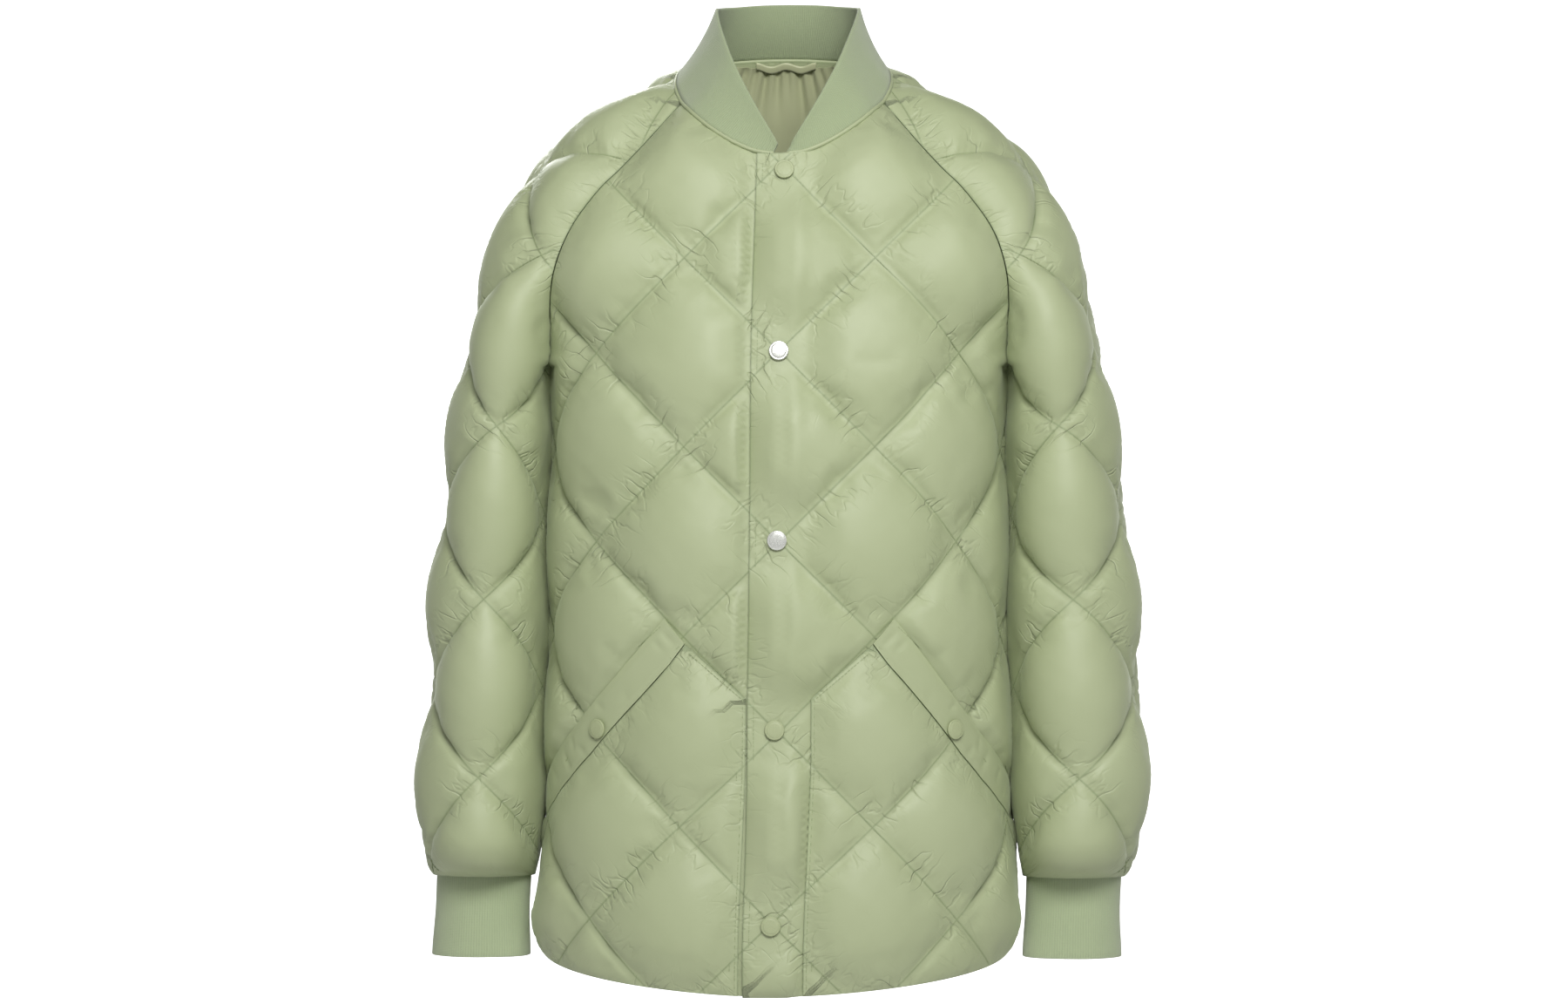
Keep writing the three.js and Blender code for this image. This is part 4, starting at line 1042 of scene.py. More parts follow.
def quilting_spots(outline, quilt, shown):
    """Flat places of the stitches along every quilting line of a panel, and their directions."""
    ends = quilt_places(outline, quilt)
    low, high = np.floor(ends.min(0)).astype(int), np.ceil(ends.max(0)).astype(int)
    step = STITCH_PITCH / math.hypot(quilt["half_width"], quilt["half_height"])
    spots, ahead = [], []
    for way in (0, 1):
        along = np.arange(low[1 - way], high[1 - way], step)
        for stitch_line in range(low[way], high[way] + 1):
            counted = np.empty((len(along), 2))
            counted[:, way] = stitch_line
            counted[:, 1 - way] = along
            u, v = counted.T
            across = quilt["across"] + quilt["half_width"] * (u + v)
            up = quilt["up"] + quilt["half_height"] * (u - v)
            spots.append(flat(across, up))
            run = [quilt["half_width"], quilt["half_height"] * (-1 if way == 0 else 1)]
            ahead.append(np.tile(run / np.hypot(*run), (len(along), 1)))
    spots, ahead = np.concatenate(spots), np.concatenate(ahead)
    kept = inside(outline, spots)
    kept[kept] = nearest_on(outline, spots[kept])[0] > STITCH_EDGE
    kept[kept] = shown(spots[kept])
    return spots[kept], ahead[kept]


def row_spots(row):
    """Flat places of the stitches along a row given by its corners, and their directions."""
    row = np.array(row, float)
    length = lengths_of(row)
    at = np.arange(STITCH_PITCH, length[-1] - STITCH_PITCH / 2, STITCH_PITCH)
    spots = np.stack([np.interp(at, length, column) for column in row.T], -1)
    runs = np.diff(row, axis=0)
    runs /= np.linalg.norm(runs, axis=1)[:, None]
    return spots, runs[np.searchsorted(length, at) - 1]


def stitching(name, spots, ahead, surface, lift, mirrored=False):
    """Joined stitches lying on a surface."""
    ends = []
    for places in (spots, spots + ahead):
        across, up = places.T
        outward = outward_of(surface, across, up)
        points = surface(across, up) + outward * (lift(places) + STITCH_HEIGHT / 4)[:, None]
        flip = np.array([-1 if mirrored else 1, 1, 1])
        ends.append((sway(points * flip), outward * flip))
    (start, outward), (end, _) = ends
    run = end - start
    run /= np.linalg.norm(run, axis=1)[:, None]
    side = np.cross(outward, run)
    side /= np.linalg.norm(side, axis=1)[:, None]
    bm = bmesh.new()
    for spot, *axes in zip(start, run * STITCH_LENGTH, side * STITCH_WIDTH, outward * STITCH_HEIGHT):
        place = Matrix(np.column_stack([*axes, spot]) * MM).to_4x4()
        bmesh.ops.create_cube(bm, size=1, matrix=place)
    bmesh.ops.recalc_face_normals(bm, faces=bm.faces)
    stitches = new_object(name, bm, THREAD)
    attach(stitches, "root")


def all_shown(places):
    return np.ones(len(places), bool)


left_outline = front_outline(FLAP_EDGE, False)
right_outline = mirrored_outline(front_outline(-UNDERLAP_EDGE, True))
front_underarm = (body_width(UNDERARM_Z, -1)[0], UNDERARM_Z)
left_press = underarm_press(left_outline, front_underarm)
right_press = underarm_press(right_outline, front_underarm)
FLAP_SHADOW = 8  # the right front starts to fill this far beyond the flap's edge


def left_front_lift(places):
    return flap_lift(places) + left_press(places) + side_meeting(-1)(places)


def right_front_lift(places):
    return right_press(places) + side_meeting(-1)(places)


for wearer, turn, outline, lift, filled_from in (
    ("left", 1, left_outline, left_front_lift, FLAP_EDGE),
    ("right", -1, right_outline, right_front_lift, -FLAP_EDGE + FLAP_SHADOW),
):
    quilted_panel(
        f"{wearer}_front",
        f"front_{wearer}",
        outline,
        BODY_QUILT,
        front_point,
        lift,
        front_share,
        SATIN,
        free=lambda places: uncovered(places, turn, filled_from),
    )
    spots, ahead = quilting_spots(
        outline, BODY_QUILT, lambda places: uncovered(places, turn, turn * FLAP_EDGE)
    )
    stitching(f"{wearer}_front_quilting", spots, ahead, front_point, lift)
FLAP_STITCH = 5
flap_z = line(NECK_FRONT["z"][0], HEM_FRONT_Z)[1:-1]
stitching(
    "closing_topstitch",
    *row_spots(flat(closing(flap_z) + FLAP_EDGE + FLAP_STITCH, flap_z)),
    front_point,
    flap_lift,
)


# Back: one panel of the same quilted satin, cut from side seam to side seam. It is sewn to the sleeves
# in raglan seams and to the fronts at the sides, and its neck edge is caught in the collar's seam.
def back_outline():
    top_z = raglan[1]["z"][-1]
    top_width = body_width(top_z, 1)[0]
    hem_width = body_width(HEM_SIDE_Z, 1)[0] - SEAM
    hem = line(0, hem_width)
    side = line(HEM_SIDE_Z, UNDERARM_Z)[1:-1]
    neck = line(top_width - NECK_END, 0)
    half = np.concatenate([
        flat(hem, hem_z(hem / hem_width, HEM_BACK_Z)),
        flat(body_width(side, 1) - SEAM, side),
        raglan_edge(1),
        flat(neck, NECK_BACK_Z - SEAM + (top_z - NECK_BACK_Z) * (neck / top_width) ** 2),
    ])
    return np.concatenate([half, mirrored_outline(half)[1:-1]])


back_edge = back_outline()
back_press = underarm_press(back_edge, (body_width(UNDERARM_Z, 1)[0], UNDERARM_Z))


def back_lift(places):
    return back_press(places) + side_meeting(1)(places)


quilted_panel(
    "back_panel",
    "back",
    back_edge,
    BODY_QUILT,
    back_point,
    back_lift,
    lambda places, edge_away: side_share(places, 1),
    SATIN,
)
stitching("back_quilting", *quilting_spots(back_edge, BODY_QUILT, all_shown), back_point, back_lift)

# Sleeves: a front and a back panel each, seamed along the shoulder and arm and under the arm, and
# gathered at the bottom into the cuff. Their quilting is a little shorter than the body's.
SLEEVE_QUILT = {
    "across": -25,
    "up": -298,
    "half_width": HALF_WIDTH,
    "half_height": SLEEVE_HALF_HEIGHT,
}
SLEEVE_SIDE_PUFF = 5.5
SLEEVE_PRESS_START, SLEEVE_PRESS_REACH = 20, 70
SLEEVE_MEETING_STOP, SLEEVE_MEETING_END = 20, 50


def sleeve_outline(side):
    def edge_at(down):
        return flat(side * (sleeve_width(down, side) - seam_inset(down)), -down)

    overarm = line(RAGLAN_TOP, SLEEVE_LENGTH)
    outline = np.concatenate([
        flat(side * SEAM, -overarm),
        edge_at(line(SLEEVE_LENGTH, UNDERARM_DOWN))[:-1],
        edge_at(raglan_downs),
    ])
    return outline[::-1] if side < 0 else outline


def sleeve_share(side):
    def share(places, edge_away):
        across, up = places.T
        below = -up > UNDERARM_DOWN
        from_inner = sleeve_width(-up, side) - np.abs(across)
        pressed = np.where(below, 1 - ease((from_inner - SLEEVE_PRESS_START) / SLEEVE_PRESS_REACH), 0)
        room = SLEEVE_SIDE_PUFF / PUFF * np.clip((-up - UNDERARM_DOWN) / PRESS_BELOW_UNDERARM, 0, 1)
        return 1 + (room - 1) * pressed

    return share


def sleeve_lift(side, outline):
    press = underarm_press(outline, (sleeve_width(np.array([UNDERARM_DOWN]), side)[0], -UNDERARM_DOWN))

    def lift(places):
        across, up = places.T
        reach = ease((SLEEVE_LENGTH + up - SLEEVE_MEETING_STOP) / SLEEVE_MEETING_END)
        from_seam = sleeve_width(-up, side) - np.abs(across)
        return press(places) + meeting(from_seam, -up - UNDERARM_DOWN) * reach

    return lift


for side, part in ((-1, "front"), (1, "back")):
    outline = sleeve_outline(side)
    for wearer, mirrored in (("left", False), ("right", True)):
        quilted_panel(
            f"{wearer}_sleeve_{part}",
            f"sleeve_{part}_{wearer}",
            outline,
            SLEEVE_QUILT,
            sleeve_point,
            sleeve_lift(side, outline),
            sleeve_share(side),
            SATIN,
            mirrored=mirrored,
        )
        stitching(
            f"{wearer}_sleeve_{part}_quilting",
            *quilting_spots(outline, SLEEVE_QUILT, all_shown),
            sleeve_point,
            sleeve_lift(side, outline),
            mirrored=mirrored,
        )

# Patch pockets: quilted in step with the fronts they are sewn on, open along the slanted welt. Their
# upper and front edges are folded flat and topstitched.
POCKET_FOLD = 6.5
POCKET_STITCH = 2.6
POCKET_FILLING = 0.9
POCKET_HEM_SHARE = 0.15
ROW_END = 3
pocket_corner = flat(POCKET_FRONT_EDGE, POCKET_CORNER_Z)
pocket_top = welt_inner[0] - POCKET_TO_WELT
pocket_hem_z = hem_z(POCKET_HEM_SHARE, HEM_FRONT_Z)


def from_fold(places):
    """Distance of flat places from the pocket's folded upper and front edges."""
    out = flat(np.abs(places[:, 0]), places[:, 1])
    slope = (pocket_top - pocket_corner) / np.linalg.norm(pocket_top - pocket_corner)
    below = (out - pocket_corner) @ [slope[1], -slope[0]]
    return np.minimum(out[:, 0] - POCKET_FRONT_EDGE, below)


def on_pocket(places):
    return POCKET_LIFT + side_meeting(-1)(places)


fold_rows = []
for inset in (POCKET_STITCH, POCKET_FOLD + 0.5):
    upper = pocket_top + [0.5 * inset - ROW_END, -1.2 * inset - ROW_END]
    lower = pocket_corner + [inset, -0.4 * inset]
    fold_rows.append([upper, lower, (lower[0], pocket_hem_z + ROW_END)])
for turn, wearer, outline in ((1, "left", pocket), (-1, "right", mirrored_outline(pocket))):
    quilted_panel(
        f"{wearer}_pocket",
        f"pocket_{wearer}",
        outline,
        BODY_QUILT,
        front_point,
        on_pocket,
        lambda places, edge_away: POCKET_FILLING * side_share(places, -1),
        SATIN,
        free=lambda places: from_fold(places) > POCKET_FOLD,
    )
    quilting = quilting_spots(outline, BODY_QUILT, lambda places: from_fold(places) > POCKET_FOLD)
    folds = [row_spots(np.array(row) * [turn, 1]) for row in fold_rows]
    spots, ahead = (np.concatenate(parts) for parts in zip(quilting, *folds))
    stitching(f"{wearer}_pocket_stitching", spots, ahead, front_point, on_pocket)

# Welts: plain folded strips of the same satin over the slanted pocket openings, stitched down along
# both edges and pulled into small creases round their snap.
WELT_LIFT = 2.8
WELT_THICKNESS = 2.4
WELT_DOME = 0.6
WELT_WIDTH = 27
WELT_EDGE_ROUND = 2.5
WELT_EDGE_FLAT = 3
WELT_FULLNESS = 1.6
WELT_STITCH_FROM_EDGE, WELT_STITCH_DIP, WELT_STITCH_SPREAD = 2.4, 0.5, 0.8
WELT_CREASE_SHARE = 0.9
WELT_SEWN = 3.1
WELT_STEPS = 110
WELT_CROSS_STEPS = 14
WELT_CREASES = table(
    "along across slant depth width reach",
    (0.035, 0.5, 0.2, 1.1, 0.012, 0.55),
    (0.085, 0.6, 0.3, 0.8, 0.01, 0.4),
    (0.30, 0.3, -0.3, 0.5, 0.02, 0.35),
    (0.415, 0.75, 0.9, 1.0, 0.012, 0.3),
    (0.455, 0.2, -0.8, 1.2, 0.014, 0.3),
    (0.58, 0.25, 0.7, 1.1, 0.014, 0.3),
    (0.615, 0.7, -0.6, 0.9, 0.012, 0.35),
    (0.68, 0.45, 0.3, 1.3, 0.016, 0.5),
    (0.80, 0.6, 0.5, 1.1, 0.018, 0.45),
    (0.87, 0.4, 0.4, 0.9, 0.014, 0.5),
)
WELT_ROW_ENDS = (0.02, 0.98)
WELT_LONG_ROWS = (0.09, 0.91)
WELT_SHORT_ROWS = (0.025, 0.075, 0.975)
POCKET_SNAP = (154, -574)


def plain_satin_material():
    """Unfilled satin, such as welts and bindings."""
    material, tree, shader = new_material("welt_satin")
    weave = place_group(tree, SATIN_WEAVE)
    tone = mix_colours(tree, weave.outputs["Drift"], SHELL_GREEN, SHELL_SHADE)
    tree.links.new(tone, shader.inputs["Base Color"])
    roughness = map_range(tree, weave.outputs["Drift"], 0.3, 0.7, 0.5, 0.58)
    tree.links.new(roughness, shader.inputs["Roughness"])
    shader.inputs["Sheen Weight"].default_value = 0.25
    shader.inputs["Sheen Roughness"].default_value = 0.4
    shader.inputs["Sheen Tint"].default_value = (0.85, 0.95, 0.7, 1)
    add_bump(tree, shader, weave.outputs["Height"])
    return material


PLAIN_SATIN = plain_satin_material()


def cloth_grid(across_cells, up_cells):
    """A grid of cloth, with each point's share of the way across and up."""
    bm = bmesh.new()
    bmesh.ops.create_grid(bm, x_segments=across_cells, y_segments=up_cells, size=0.5)
    shares = np.array([vert.co[:2] for vert in bm.verts]) + 0.5
    return bm, shares[:, 0], shares[:, 1]


def polyline_at(places, share):
    """Points at a share of the length of a polyline of flat places."""
    steps = np.linalg.norm(np.diff(places, axis=0), axis=1)
    lengths = np.concatenate([[0], np.cumsum(steps)]) / steps.sum()
    return np.stack([np.interp(share, lengths, column) for column in places.T], -1)


def off_front(places, off, turn=1):
    """Points off the front's cloth at flat places, on the wearer's left or mirrored to the right."""
    across, up = places.T
    points = front_point(across, up) + outward_of(front_point, across, up) * np.asarray(off)[..., None]
    return points * [turn, 1, 1]


def on_welt(places):
    return np.full(len(places), WELT_SEWN)


def crease_depth(rows, along, across):
    """Short soft troughs, each of its own length, slant and depth."""
    total = np.zeros(len(along))
    for at, middle, slant, depth, width, reach in zip(*rows.values()):
        beside = (along - at - slant * width * (across - middle) * 4) / width
        ends = ease(1 - np.abs(across - middle) / reach)
        total += depth * np.exp(-(beside**2)) * ends
    return total


for turn, wearer in ((1, "left"), (-1, "right")):
    bm, along_share, across_share = cloth_grid(WELT_STEPS, WELT_CROSS_STEPS)
    inner_edge = polyline_at(welt_inner + 0.3, along_share)
    outer_edge = polyline_at(welt_outer, along_share)
    places = inner_edge + (outer_edge - inner_edge) * across_share[:, None]
    from_edge = np.minimum(across_share, 1 - across_share) * WELT_WIDTH
    dip = WELT_STITCH_DIP * np.exp(-((from_edge - WELT_STITCH_FROM_EDGE) ** 2) / WELT_STITCH_SPREAD)
    dome = WELT_DOME * (1 - np.exp(-from_edge / WELT_EDGE_ROUND)) * WELT_FULLNESS - dip
    creases = crease_depth(WELT_CREASES, along_share, across_share)
    creases *= WELT_CREASE_SHARE * np.clip(from_edge / WELT_EDGE_FLAT, 0, 1)
    low = WELT_LIFT - WALL
    top = off_front(places, low + WELT_THICKNESS + dome - creases, turn)
    base = off_front(places, np.full(len(places), low), turn)
    if turn > 0:
        bmesh.ops.reverse_faces(bm, faces=bm.faces)
    piece = close_wall(f"{wearer}_welt", bm, sway(top) * MM, sway(base) * MM, {"cloth": places * MM})
    finish_piece(piece, PLAIN_SATIN, "shell", f"welt_{wearer}")
    inner, outer = (polyline_at(edge, np.array(WELT_ROW_ENDS)) for edge in (welt_inner, welt_outer))
    rows = [inner + (outer - inner) * share for share in WELT_LONG_ROWS]
    for end in WELT_SHORT_ROWS:
        rows.append([polyline_at(edge, end) for edge in (welt_inner, welt_outer)])
    stitches = [row_spots(np.array(row) * [turn, 1]) for row in rows]
    spots, ahead = (np.concatenate(parts) for parts in zip(*stitches))
    stitching(f"{wearer}_welt_topstitch", spots, ahead, front_point, on_welt)

# Snaps: pressed metal caps enamelled in the cloth's green. The second and third caps of the closing
# are given a pale glossy metal colour, a painted highlight, so that they show as plain white discs.
SNAP_CLEARANCE = 1.5
SNAP_ON_WELT = 0.3
HIGHLIGHT_SNAPS = (2, 3)
SNAP_SHANK = 1.1
SNAP_PROFILE = [
    (0, 2.55),
    (3.2, 2.5),
    (5.4, 2.35),
    (6.3, 2.25),
    (6.7, 1.85),
    (7.2, 2.15),
    (7.9, 1.95),
    (8.25, 1.3),
    (8.1, 0.5),
    (7.5, 0.0),
    (2.1, -1.1),
    (0, -1.1),
]
SNAP_TURNS = 48


def enamel_material(name, colour, metallic, roughness):
    material, tree, shader = new_material(name)
    place = tree.nodes.new("ShaderNodeTexCoord").outputs["Object"]
    speckle = noise(tree, place, 900, 3.0)
    tone = mix_colours(tree, speckle, colour, shade_of(colour, 0.86))
    tree.links.new(tone, shader.inputs["Base Color"])
    gloss = map_range(tree, speckle, 0.3, 0.7, roughness - 0.04, roughness + 0.05)
    tree.links.new(gloss, shader.inputs["Roughness"])
    shader.inputs["Metallic"].default_value = metallic
    shader.inputs["Coat Weight"].default_value = 0.15
    shader.inputs["Coat Roughness"].default_value = 0.35
    return material


GREEN_ENAMEL = enamel_material("snap_green_enamel", (0.42, 0.47, 0.265, 1), 0.0, 0.55)
# painted highlight: a pale colour standing in for the light these two caps catch
PALE_HIGHLIGHT_METAL = enamel_material("snap_painted_highlight_metal", (0.74, 0.75, 0.7, 1), 0.45, 0.24)


def snap_cap(name, node, point, outward, material):
    bm = spun([(radius * MM, height * MM) for radius, height in SNAP_PROFILE], SNAP_TURNS)
    turned = Vector(outward).to_track_quat("Z", "Y").to_matrix()
    bmesh.ops.rotate(bm, verts=bm.verts, cent=(0, 0, 0), matrix=turned)
    bmesh.ops.translate(bm, verts=bm.verts, vec=Vector(point) * MM)
    cap = new_object(name, bm, material)
    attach(cap, "root")
    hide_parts(node)


def snap_on_front(name, node, place, off, turn, material):
    places = np.array([place], float)
    outward = outward_of(front_point, *places.T)[0] * [turn, 1, 1]
    point = sway(off_front(places, [off], turn))[0]
    snap_cap(name, node, point, outward, material)


flap_off = FLAP_LIFT + SNAP_CLEARANCE
for number, z in enumerate(SNAP_HEIGHTS, 1):
    metal = PALE_HIGHLIGHT_METAL if number in HIGHLIGHT_SNAPS else GREEN_ENAMEL
    snap_on_front(f"closing_snap_{number}", f"snap_front_{number}", (closing(z), z), flap_off, 1, metal)
welt_off = WELT_LIFT - WALL + WELT_THICKNESS + WELT_DOME + SNAP_ON_WELT + SNAP_SHANK
for turn, wearer in ((1, "left"), (-1, "right")):
    name, node = f"{wearer}_pocket_snap", f"snap_pocket_{wearer}"
    snap_on_front(name, node, POCKET_SNAP, welt_off, turn, GREEN_ENAMEL)

# Cuffs and collar: bands of fine rib knit, folded double. The cuffs are short tubes that the sleeves
# are gathered on to. The collar stands round the neck and comes to a point at the closing.
RIB_THICKNESS = 2.6
RIB_PITCH = 1.9
CUFF = {"x": 253.5, "y": -7, "top_z": -696, "bottom_z": -772, "top": (40.6, 31), "bottom": (42.5, 29)}
CUFF_TURNS = 120
CUFF_ROWS = 18
# The same knit in two greens, as painted light and shade: the cuffs painted lighter, the collar darker.
CUFF_GREEN_PAINTED_LIGHTER = (0.42, 0.5, 0.295, 1)
COLLAR_GREEN_PAINTED_DARKER = (0.36, 0.43, 0.245, 1)
VALLEY_PAINTED_SHADE = 0.78
CUFF_WAIST = 1.0
CUFF_RIPPLE, CUFF_RIPPLES, CUFF_RIPPLE_START = 0.5, 5, 1.3
CUFF_WALES = 116
CUFF_ROUND = 160  # round the band's own section
KNIT_ROW = 0.0011
KNIT_RELIEF = 0.00022


def rib_knit_material(name, green):
    """Fine one-by-one rib: narrow rounded wales, with painted shade in the valleys between them."""
    material, tree, shader = new_material(name)
    parts = tree.nodes.new("ShaderNodeSeparateXYZ")
    tree.links.new(uv_map(tree, "cloth"), parts.inputs[0])
    half_wale = RIB_PITCH * MM / 2
    wale = math_node(tree, "DIVIDE", math_node(tree, "PINGPONG", parts.outputs[0], half_wale), half_wale)
    rounded = math_node(tree, "SINE", math_node(tree, "MULTIPLY", wale, 1.5))
    rounded = math_node(tree, "POWER", rounded, 0.7)
    loops = math_node(tree, "SINE", math_node(tree, "MULTIPLY", parts.outputs[1], math.tau / KNIT_ROW))
    place = tree.nodes.new("ShaderNodeTexCoord").outputs["Object"]
    fuzz = noise(tree, place, 260, 4.0, 0.6)
    # painted light and shade: wale tops painted lighter and valleys darker, with random fuzz in the tone
    lit, worn = math_node(tree, "MULTIPLY", rounded, 0.55), math_node(tree, "MULTIPLY", fuzz, 0.4)
    tone = math_node(tree, "ADD", lit, worn)
    knit = mix_colours(tree, tone, shade_of(green, VALLEY_PAINTED_SHADE), green)
    tree.links.new(knit, shader.inputs["Base Color"])
    tree.links.new(map_range(tree, fuzz, 0.3, 0.7, 0.78, 0.92), shader.inputs["Roughness"])
    shader.inputs["Sheen Weight"].default_value = 0.3
    shader.inputs["Sheen Roughness"].default_value = 0.6
    height = math_node(tree, "ADD", rounded, math_node(tree, "MULTIPLY", loops, 0.12))
    height = math_node(tree, "MULTIPLY", math_node(tree, "ADD", height, fuzz), KNIT_RELIEF)
    add_bump(tree, shader, height)
    return material


# painted light and shade: a lighter copy of the rib for the cuffs, a darker one for the collar
CUFF_KNIT_PAINTED_LIGHTER = rib_knit_material("cuff_knit_painted_lighter", CUFF_GREEN_PAINTED_LIGHTER)
COLLAR_KNIT_PAINTED_DARKER = rib_knit_material("collar_knit_painted_darker", COLLAR_GREEN_PAINTED_DARKER)


def knit_band(name, points, along, over, closed):
    """A shell through rows of points, closed over each row, and end to end where closed is true."""
    rows, columns = points.shape[:2]
    cells = rows if closed else rows - 1
    bm = bmesh.new()
    bmesh.ops.create_grid(bm, x_segments=cells, y_segments=columns, size=0.5)
    uv = bm.loops.layers.uv.new("cloth")
    index = {}
    for vert in bm.verts:
        i, j = round((vert.co.x + 0.5) * cells), round((vert.co.y + 0.5) * columns)
        index[vert] = (along[i], over[j])
        vert.co = Vector(points[i % rows, j % columns]) * MM
    for face in bm.faces:
        face.smooth = True
        for corner in face.loops:
            corner[uv].uv = [MM * length for length in index[corner.vert]]
    bmesh.ops.remove_doubles(bm, verts=bm.verts, dist=1e-7)
    if not closed:
        ends = [edge for edge in bm.edges if edge.is_boundary]
        caps = bmesh.ops.holes_fill(bm, edges=ends, sides=0)["faces"]
        bmesh.ops.triangulate(bm, faces=caps)
    bmesh.ops.recalc_face_normals(bm, faces=bm.faces)
    if bm.calc_volume(signed=True) < 0:
        bmesh.ops.reverse_faces(bm, faces=bm.faces)
    mesh = bpy.data.meshes.new(name)
    bm.to_mesh(mesh)
    bm.free()
    return bpy.data.objects.new(name, mesh)


def swayed(rows):
    return sway(rows.reshape(-1, 3)).reshape(rows.shape)


FOLD_STEPS = 5
cuff_share = np.linspace(0, 1, CUFF_ROWS + 1)
fold_angle = np.linspace(0, math.pi, FOLD_STEPS + 2)[1:-1]
cuff_in = np.concatenate([
    RIB_THICKNESS * np.ones(CUFF_ROWS + 1),
    RIB_THICKNESS / 2 * (1 + np.cos(fold_angle)),
    np.zeros(CUFF_ROWS + 1),
    RIB_THICKNESS / 2 * (1 - np.cos(fold_angle)),
])
cuff_fold = np.sin(fold_angle) * RIB_THICKNESS / 2 / (CUFF["top_z"] - CUFF["bottom_z"])
cuff_down = np.concatenate([cuff_share, 1 + cuff_fold, cuff_share[::-1], -cuff_fold])
angles = np.linspace(0, math.tau, CUFF_TURNS, endpoint=False)[:, None]
waist = CUFF_WAIST * np.sin(math.pi * np.clip(cuff_down, 0, 1)) ** 2
half = CUFF["top"][0] + (CUFF["bottom"][0] - CUFF["top"][0]) * cuff_down - waist - cuff_in
depth = CUFF["top"][1] + (CUFF["bottom"][1] - CUFF["top"][1]) * cuff_down - cuff_in
ripple = CUFF_RIPPLE * np.sin(CUFF_RIPPLES * angles + CUFF_RIPPLE_START) * np.clip(cuff_down, 0, 1) ** 2
cuff_x = CUFF["x"] + (half + ripple) * np.cos(angles)
cuff_y = CUFF["y"] + (depth + ripple) * np.sin(angles)
cuff_z = CUFF["top_z"] + (CUFF["bottom_z"] - CUFF["top_z"]) * cuff_down + 0 * angles
girth = np.linspace(0, RIB_PITCH * CUFF_WALES, CUFF_TURNS + 1)
for turn, wearer in ((1, "left"), (-1, "right")):
    points = swayed(np.stack([turn * cuff_x, cuff_y, cuff_z], -1))
    over = np.concatenate([lengths_of(points[0]), [CUFF_ROUND]])
    piece = knit_band(f"{wearer}_cuff", points, girth, over, closed=True)
    finish_piece(piece, CUFF_KNIT_PAINTED_LIGHTER, "rib_knit", f"cuff_{wearer}")

COLLAR_START_X = 5
COLLAR_SEAM = 0.7
COLLAR_BULGE = 3
COLLAR_FULL_HEIGHT = 50
COLLAR_ROUND = 130  # round the band's own section
COLLAR_LEAN = 3.5
COLLAR_STEPS = 90
COLLAR_ROWS = 14
COLLAR_EDGE = table(
    "share x y z",
    (0, 5.5, -98, -84),
    (0.1, 21, -91, -58),
    (0.2, 32.5, -81, -37),
    (0.3, 43.5, -67, -14),
    (0.38, 50.5, -53, 4),
    (0.46, 56.5, -33, 22),
    (0.56, 60, -8, 37),
    (0.66, 58, 18, 41),
    (0.77, 46, 38, 44),
    (0.88, 25, 50, 47),
    (1, 0, 54, 48),
)


def neck_points():
    """Half of the neck seam, from the centre front round to the centre back."""
    x = np.array([COLLAR_START_X, 20, 35, 50, 64, 76], float)
    z = read(NECK_FRONT, "x", "z", x)
    front = front_point(across_at(x, z, -1), z)
    arcs = [sleeve_arc(np.zeros(1), side) for side in (-1, 1)]
    shoulder = [arcs[0][0](np.array([[share]]) * arcs[0][1][:, None])[0] for share in (1, 0.5, 0)]
    shoulder += [arcs[1][0](np.array([[share]]) * arcs[1][1][:, None])[0] for share in (0.5, 1)]
    top_z = raglan[1]["z"][-1]
    share = np.array([0.75, 0.5, 0.25, 0])
    behind = back_point(-share * body_width(top_z, 1)[0], NECK_BACK_Z + (top_z - NECK_BACK_Z) * share**2)
    return np.concatenate([front, *shoulder, behind])


def smooth_through(points, count):
    """Evenly spaced points on a centripetal curve through given ones, and its directions."""
    ends = [2 * points[0] - points[1], *points, 2 * points[-1] - points[-2]]
    fine = []
    for a, b, c, d in zip(ends, ends[1:], ends[2:], ends[3:]):
        gap_0, gap_1, gap_2 = (np.linalg.norm(q - p) ** 0.5 for p, q in ((a, b), (b, c), (c, d)))
        start = ((b - a) / gap_0 - (c - a) / (gap_0 + gap_1) + (c - b) / gap_1) * gap_1
        stop = ((c - b) / gap_1 - (d - b) / (gap_1 + gap_2) + (d - c) / gap_2) * gap_1
        t = np.linspace(0, 1, 21)[:-1, None]
        hermite = (2 * t**3 - 3 * t**2 + 1) * b + (t**3 - 2 * t**2 + t) * start
        fine.append(hermite + (3 * t**2 - 2 * t**3) * c + (t**3 - t**2) * stop)
    fine = np.concatenate([*fine, points[-1:]])
    length = lengths_of(fine)
    at = np.linspace(0, length[-1], count)
    even = np.stack([np.interp(at, length, column) for column in fine.T], -1)
    run = np.gradient(even, axis=0)
    return even, run / np.linalg.norm(run, axis=1)[:, None]


neck_seam, neck_run = smooth_through(neck_points(), COLLAR_STEPS + 1)
collar_share = np.linspace(0, 1, COLLAR_STEPS + 1)
collar_edge = np.stack([read(COLLAR_EDGE, "share", axis, collar_share) for axis in "xyz"], -1)
collar_tall = np.linalg.norm(collar_edge - neck_seam, axis=1)[:, None]
neck_upwards = (collar_edge - neck_seam) / collar_tall
neck_outward = -np.cross(neck_run, neck_upwards)
neck_outward /= np.linalg.norm(neck_outward, axis=1)[:, None]


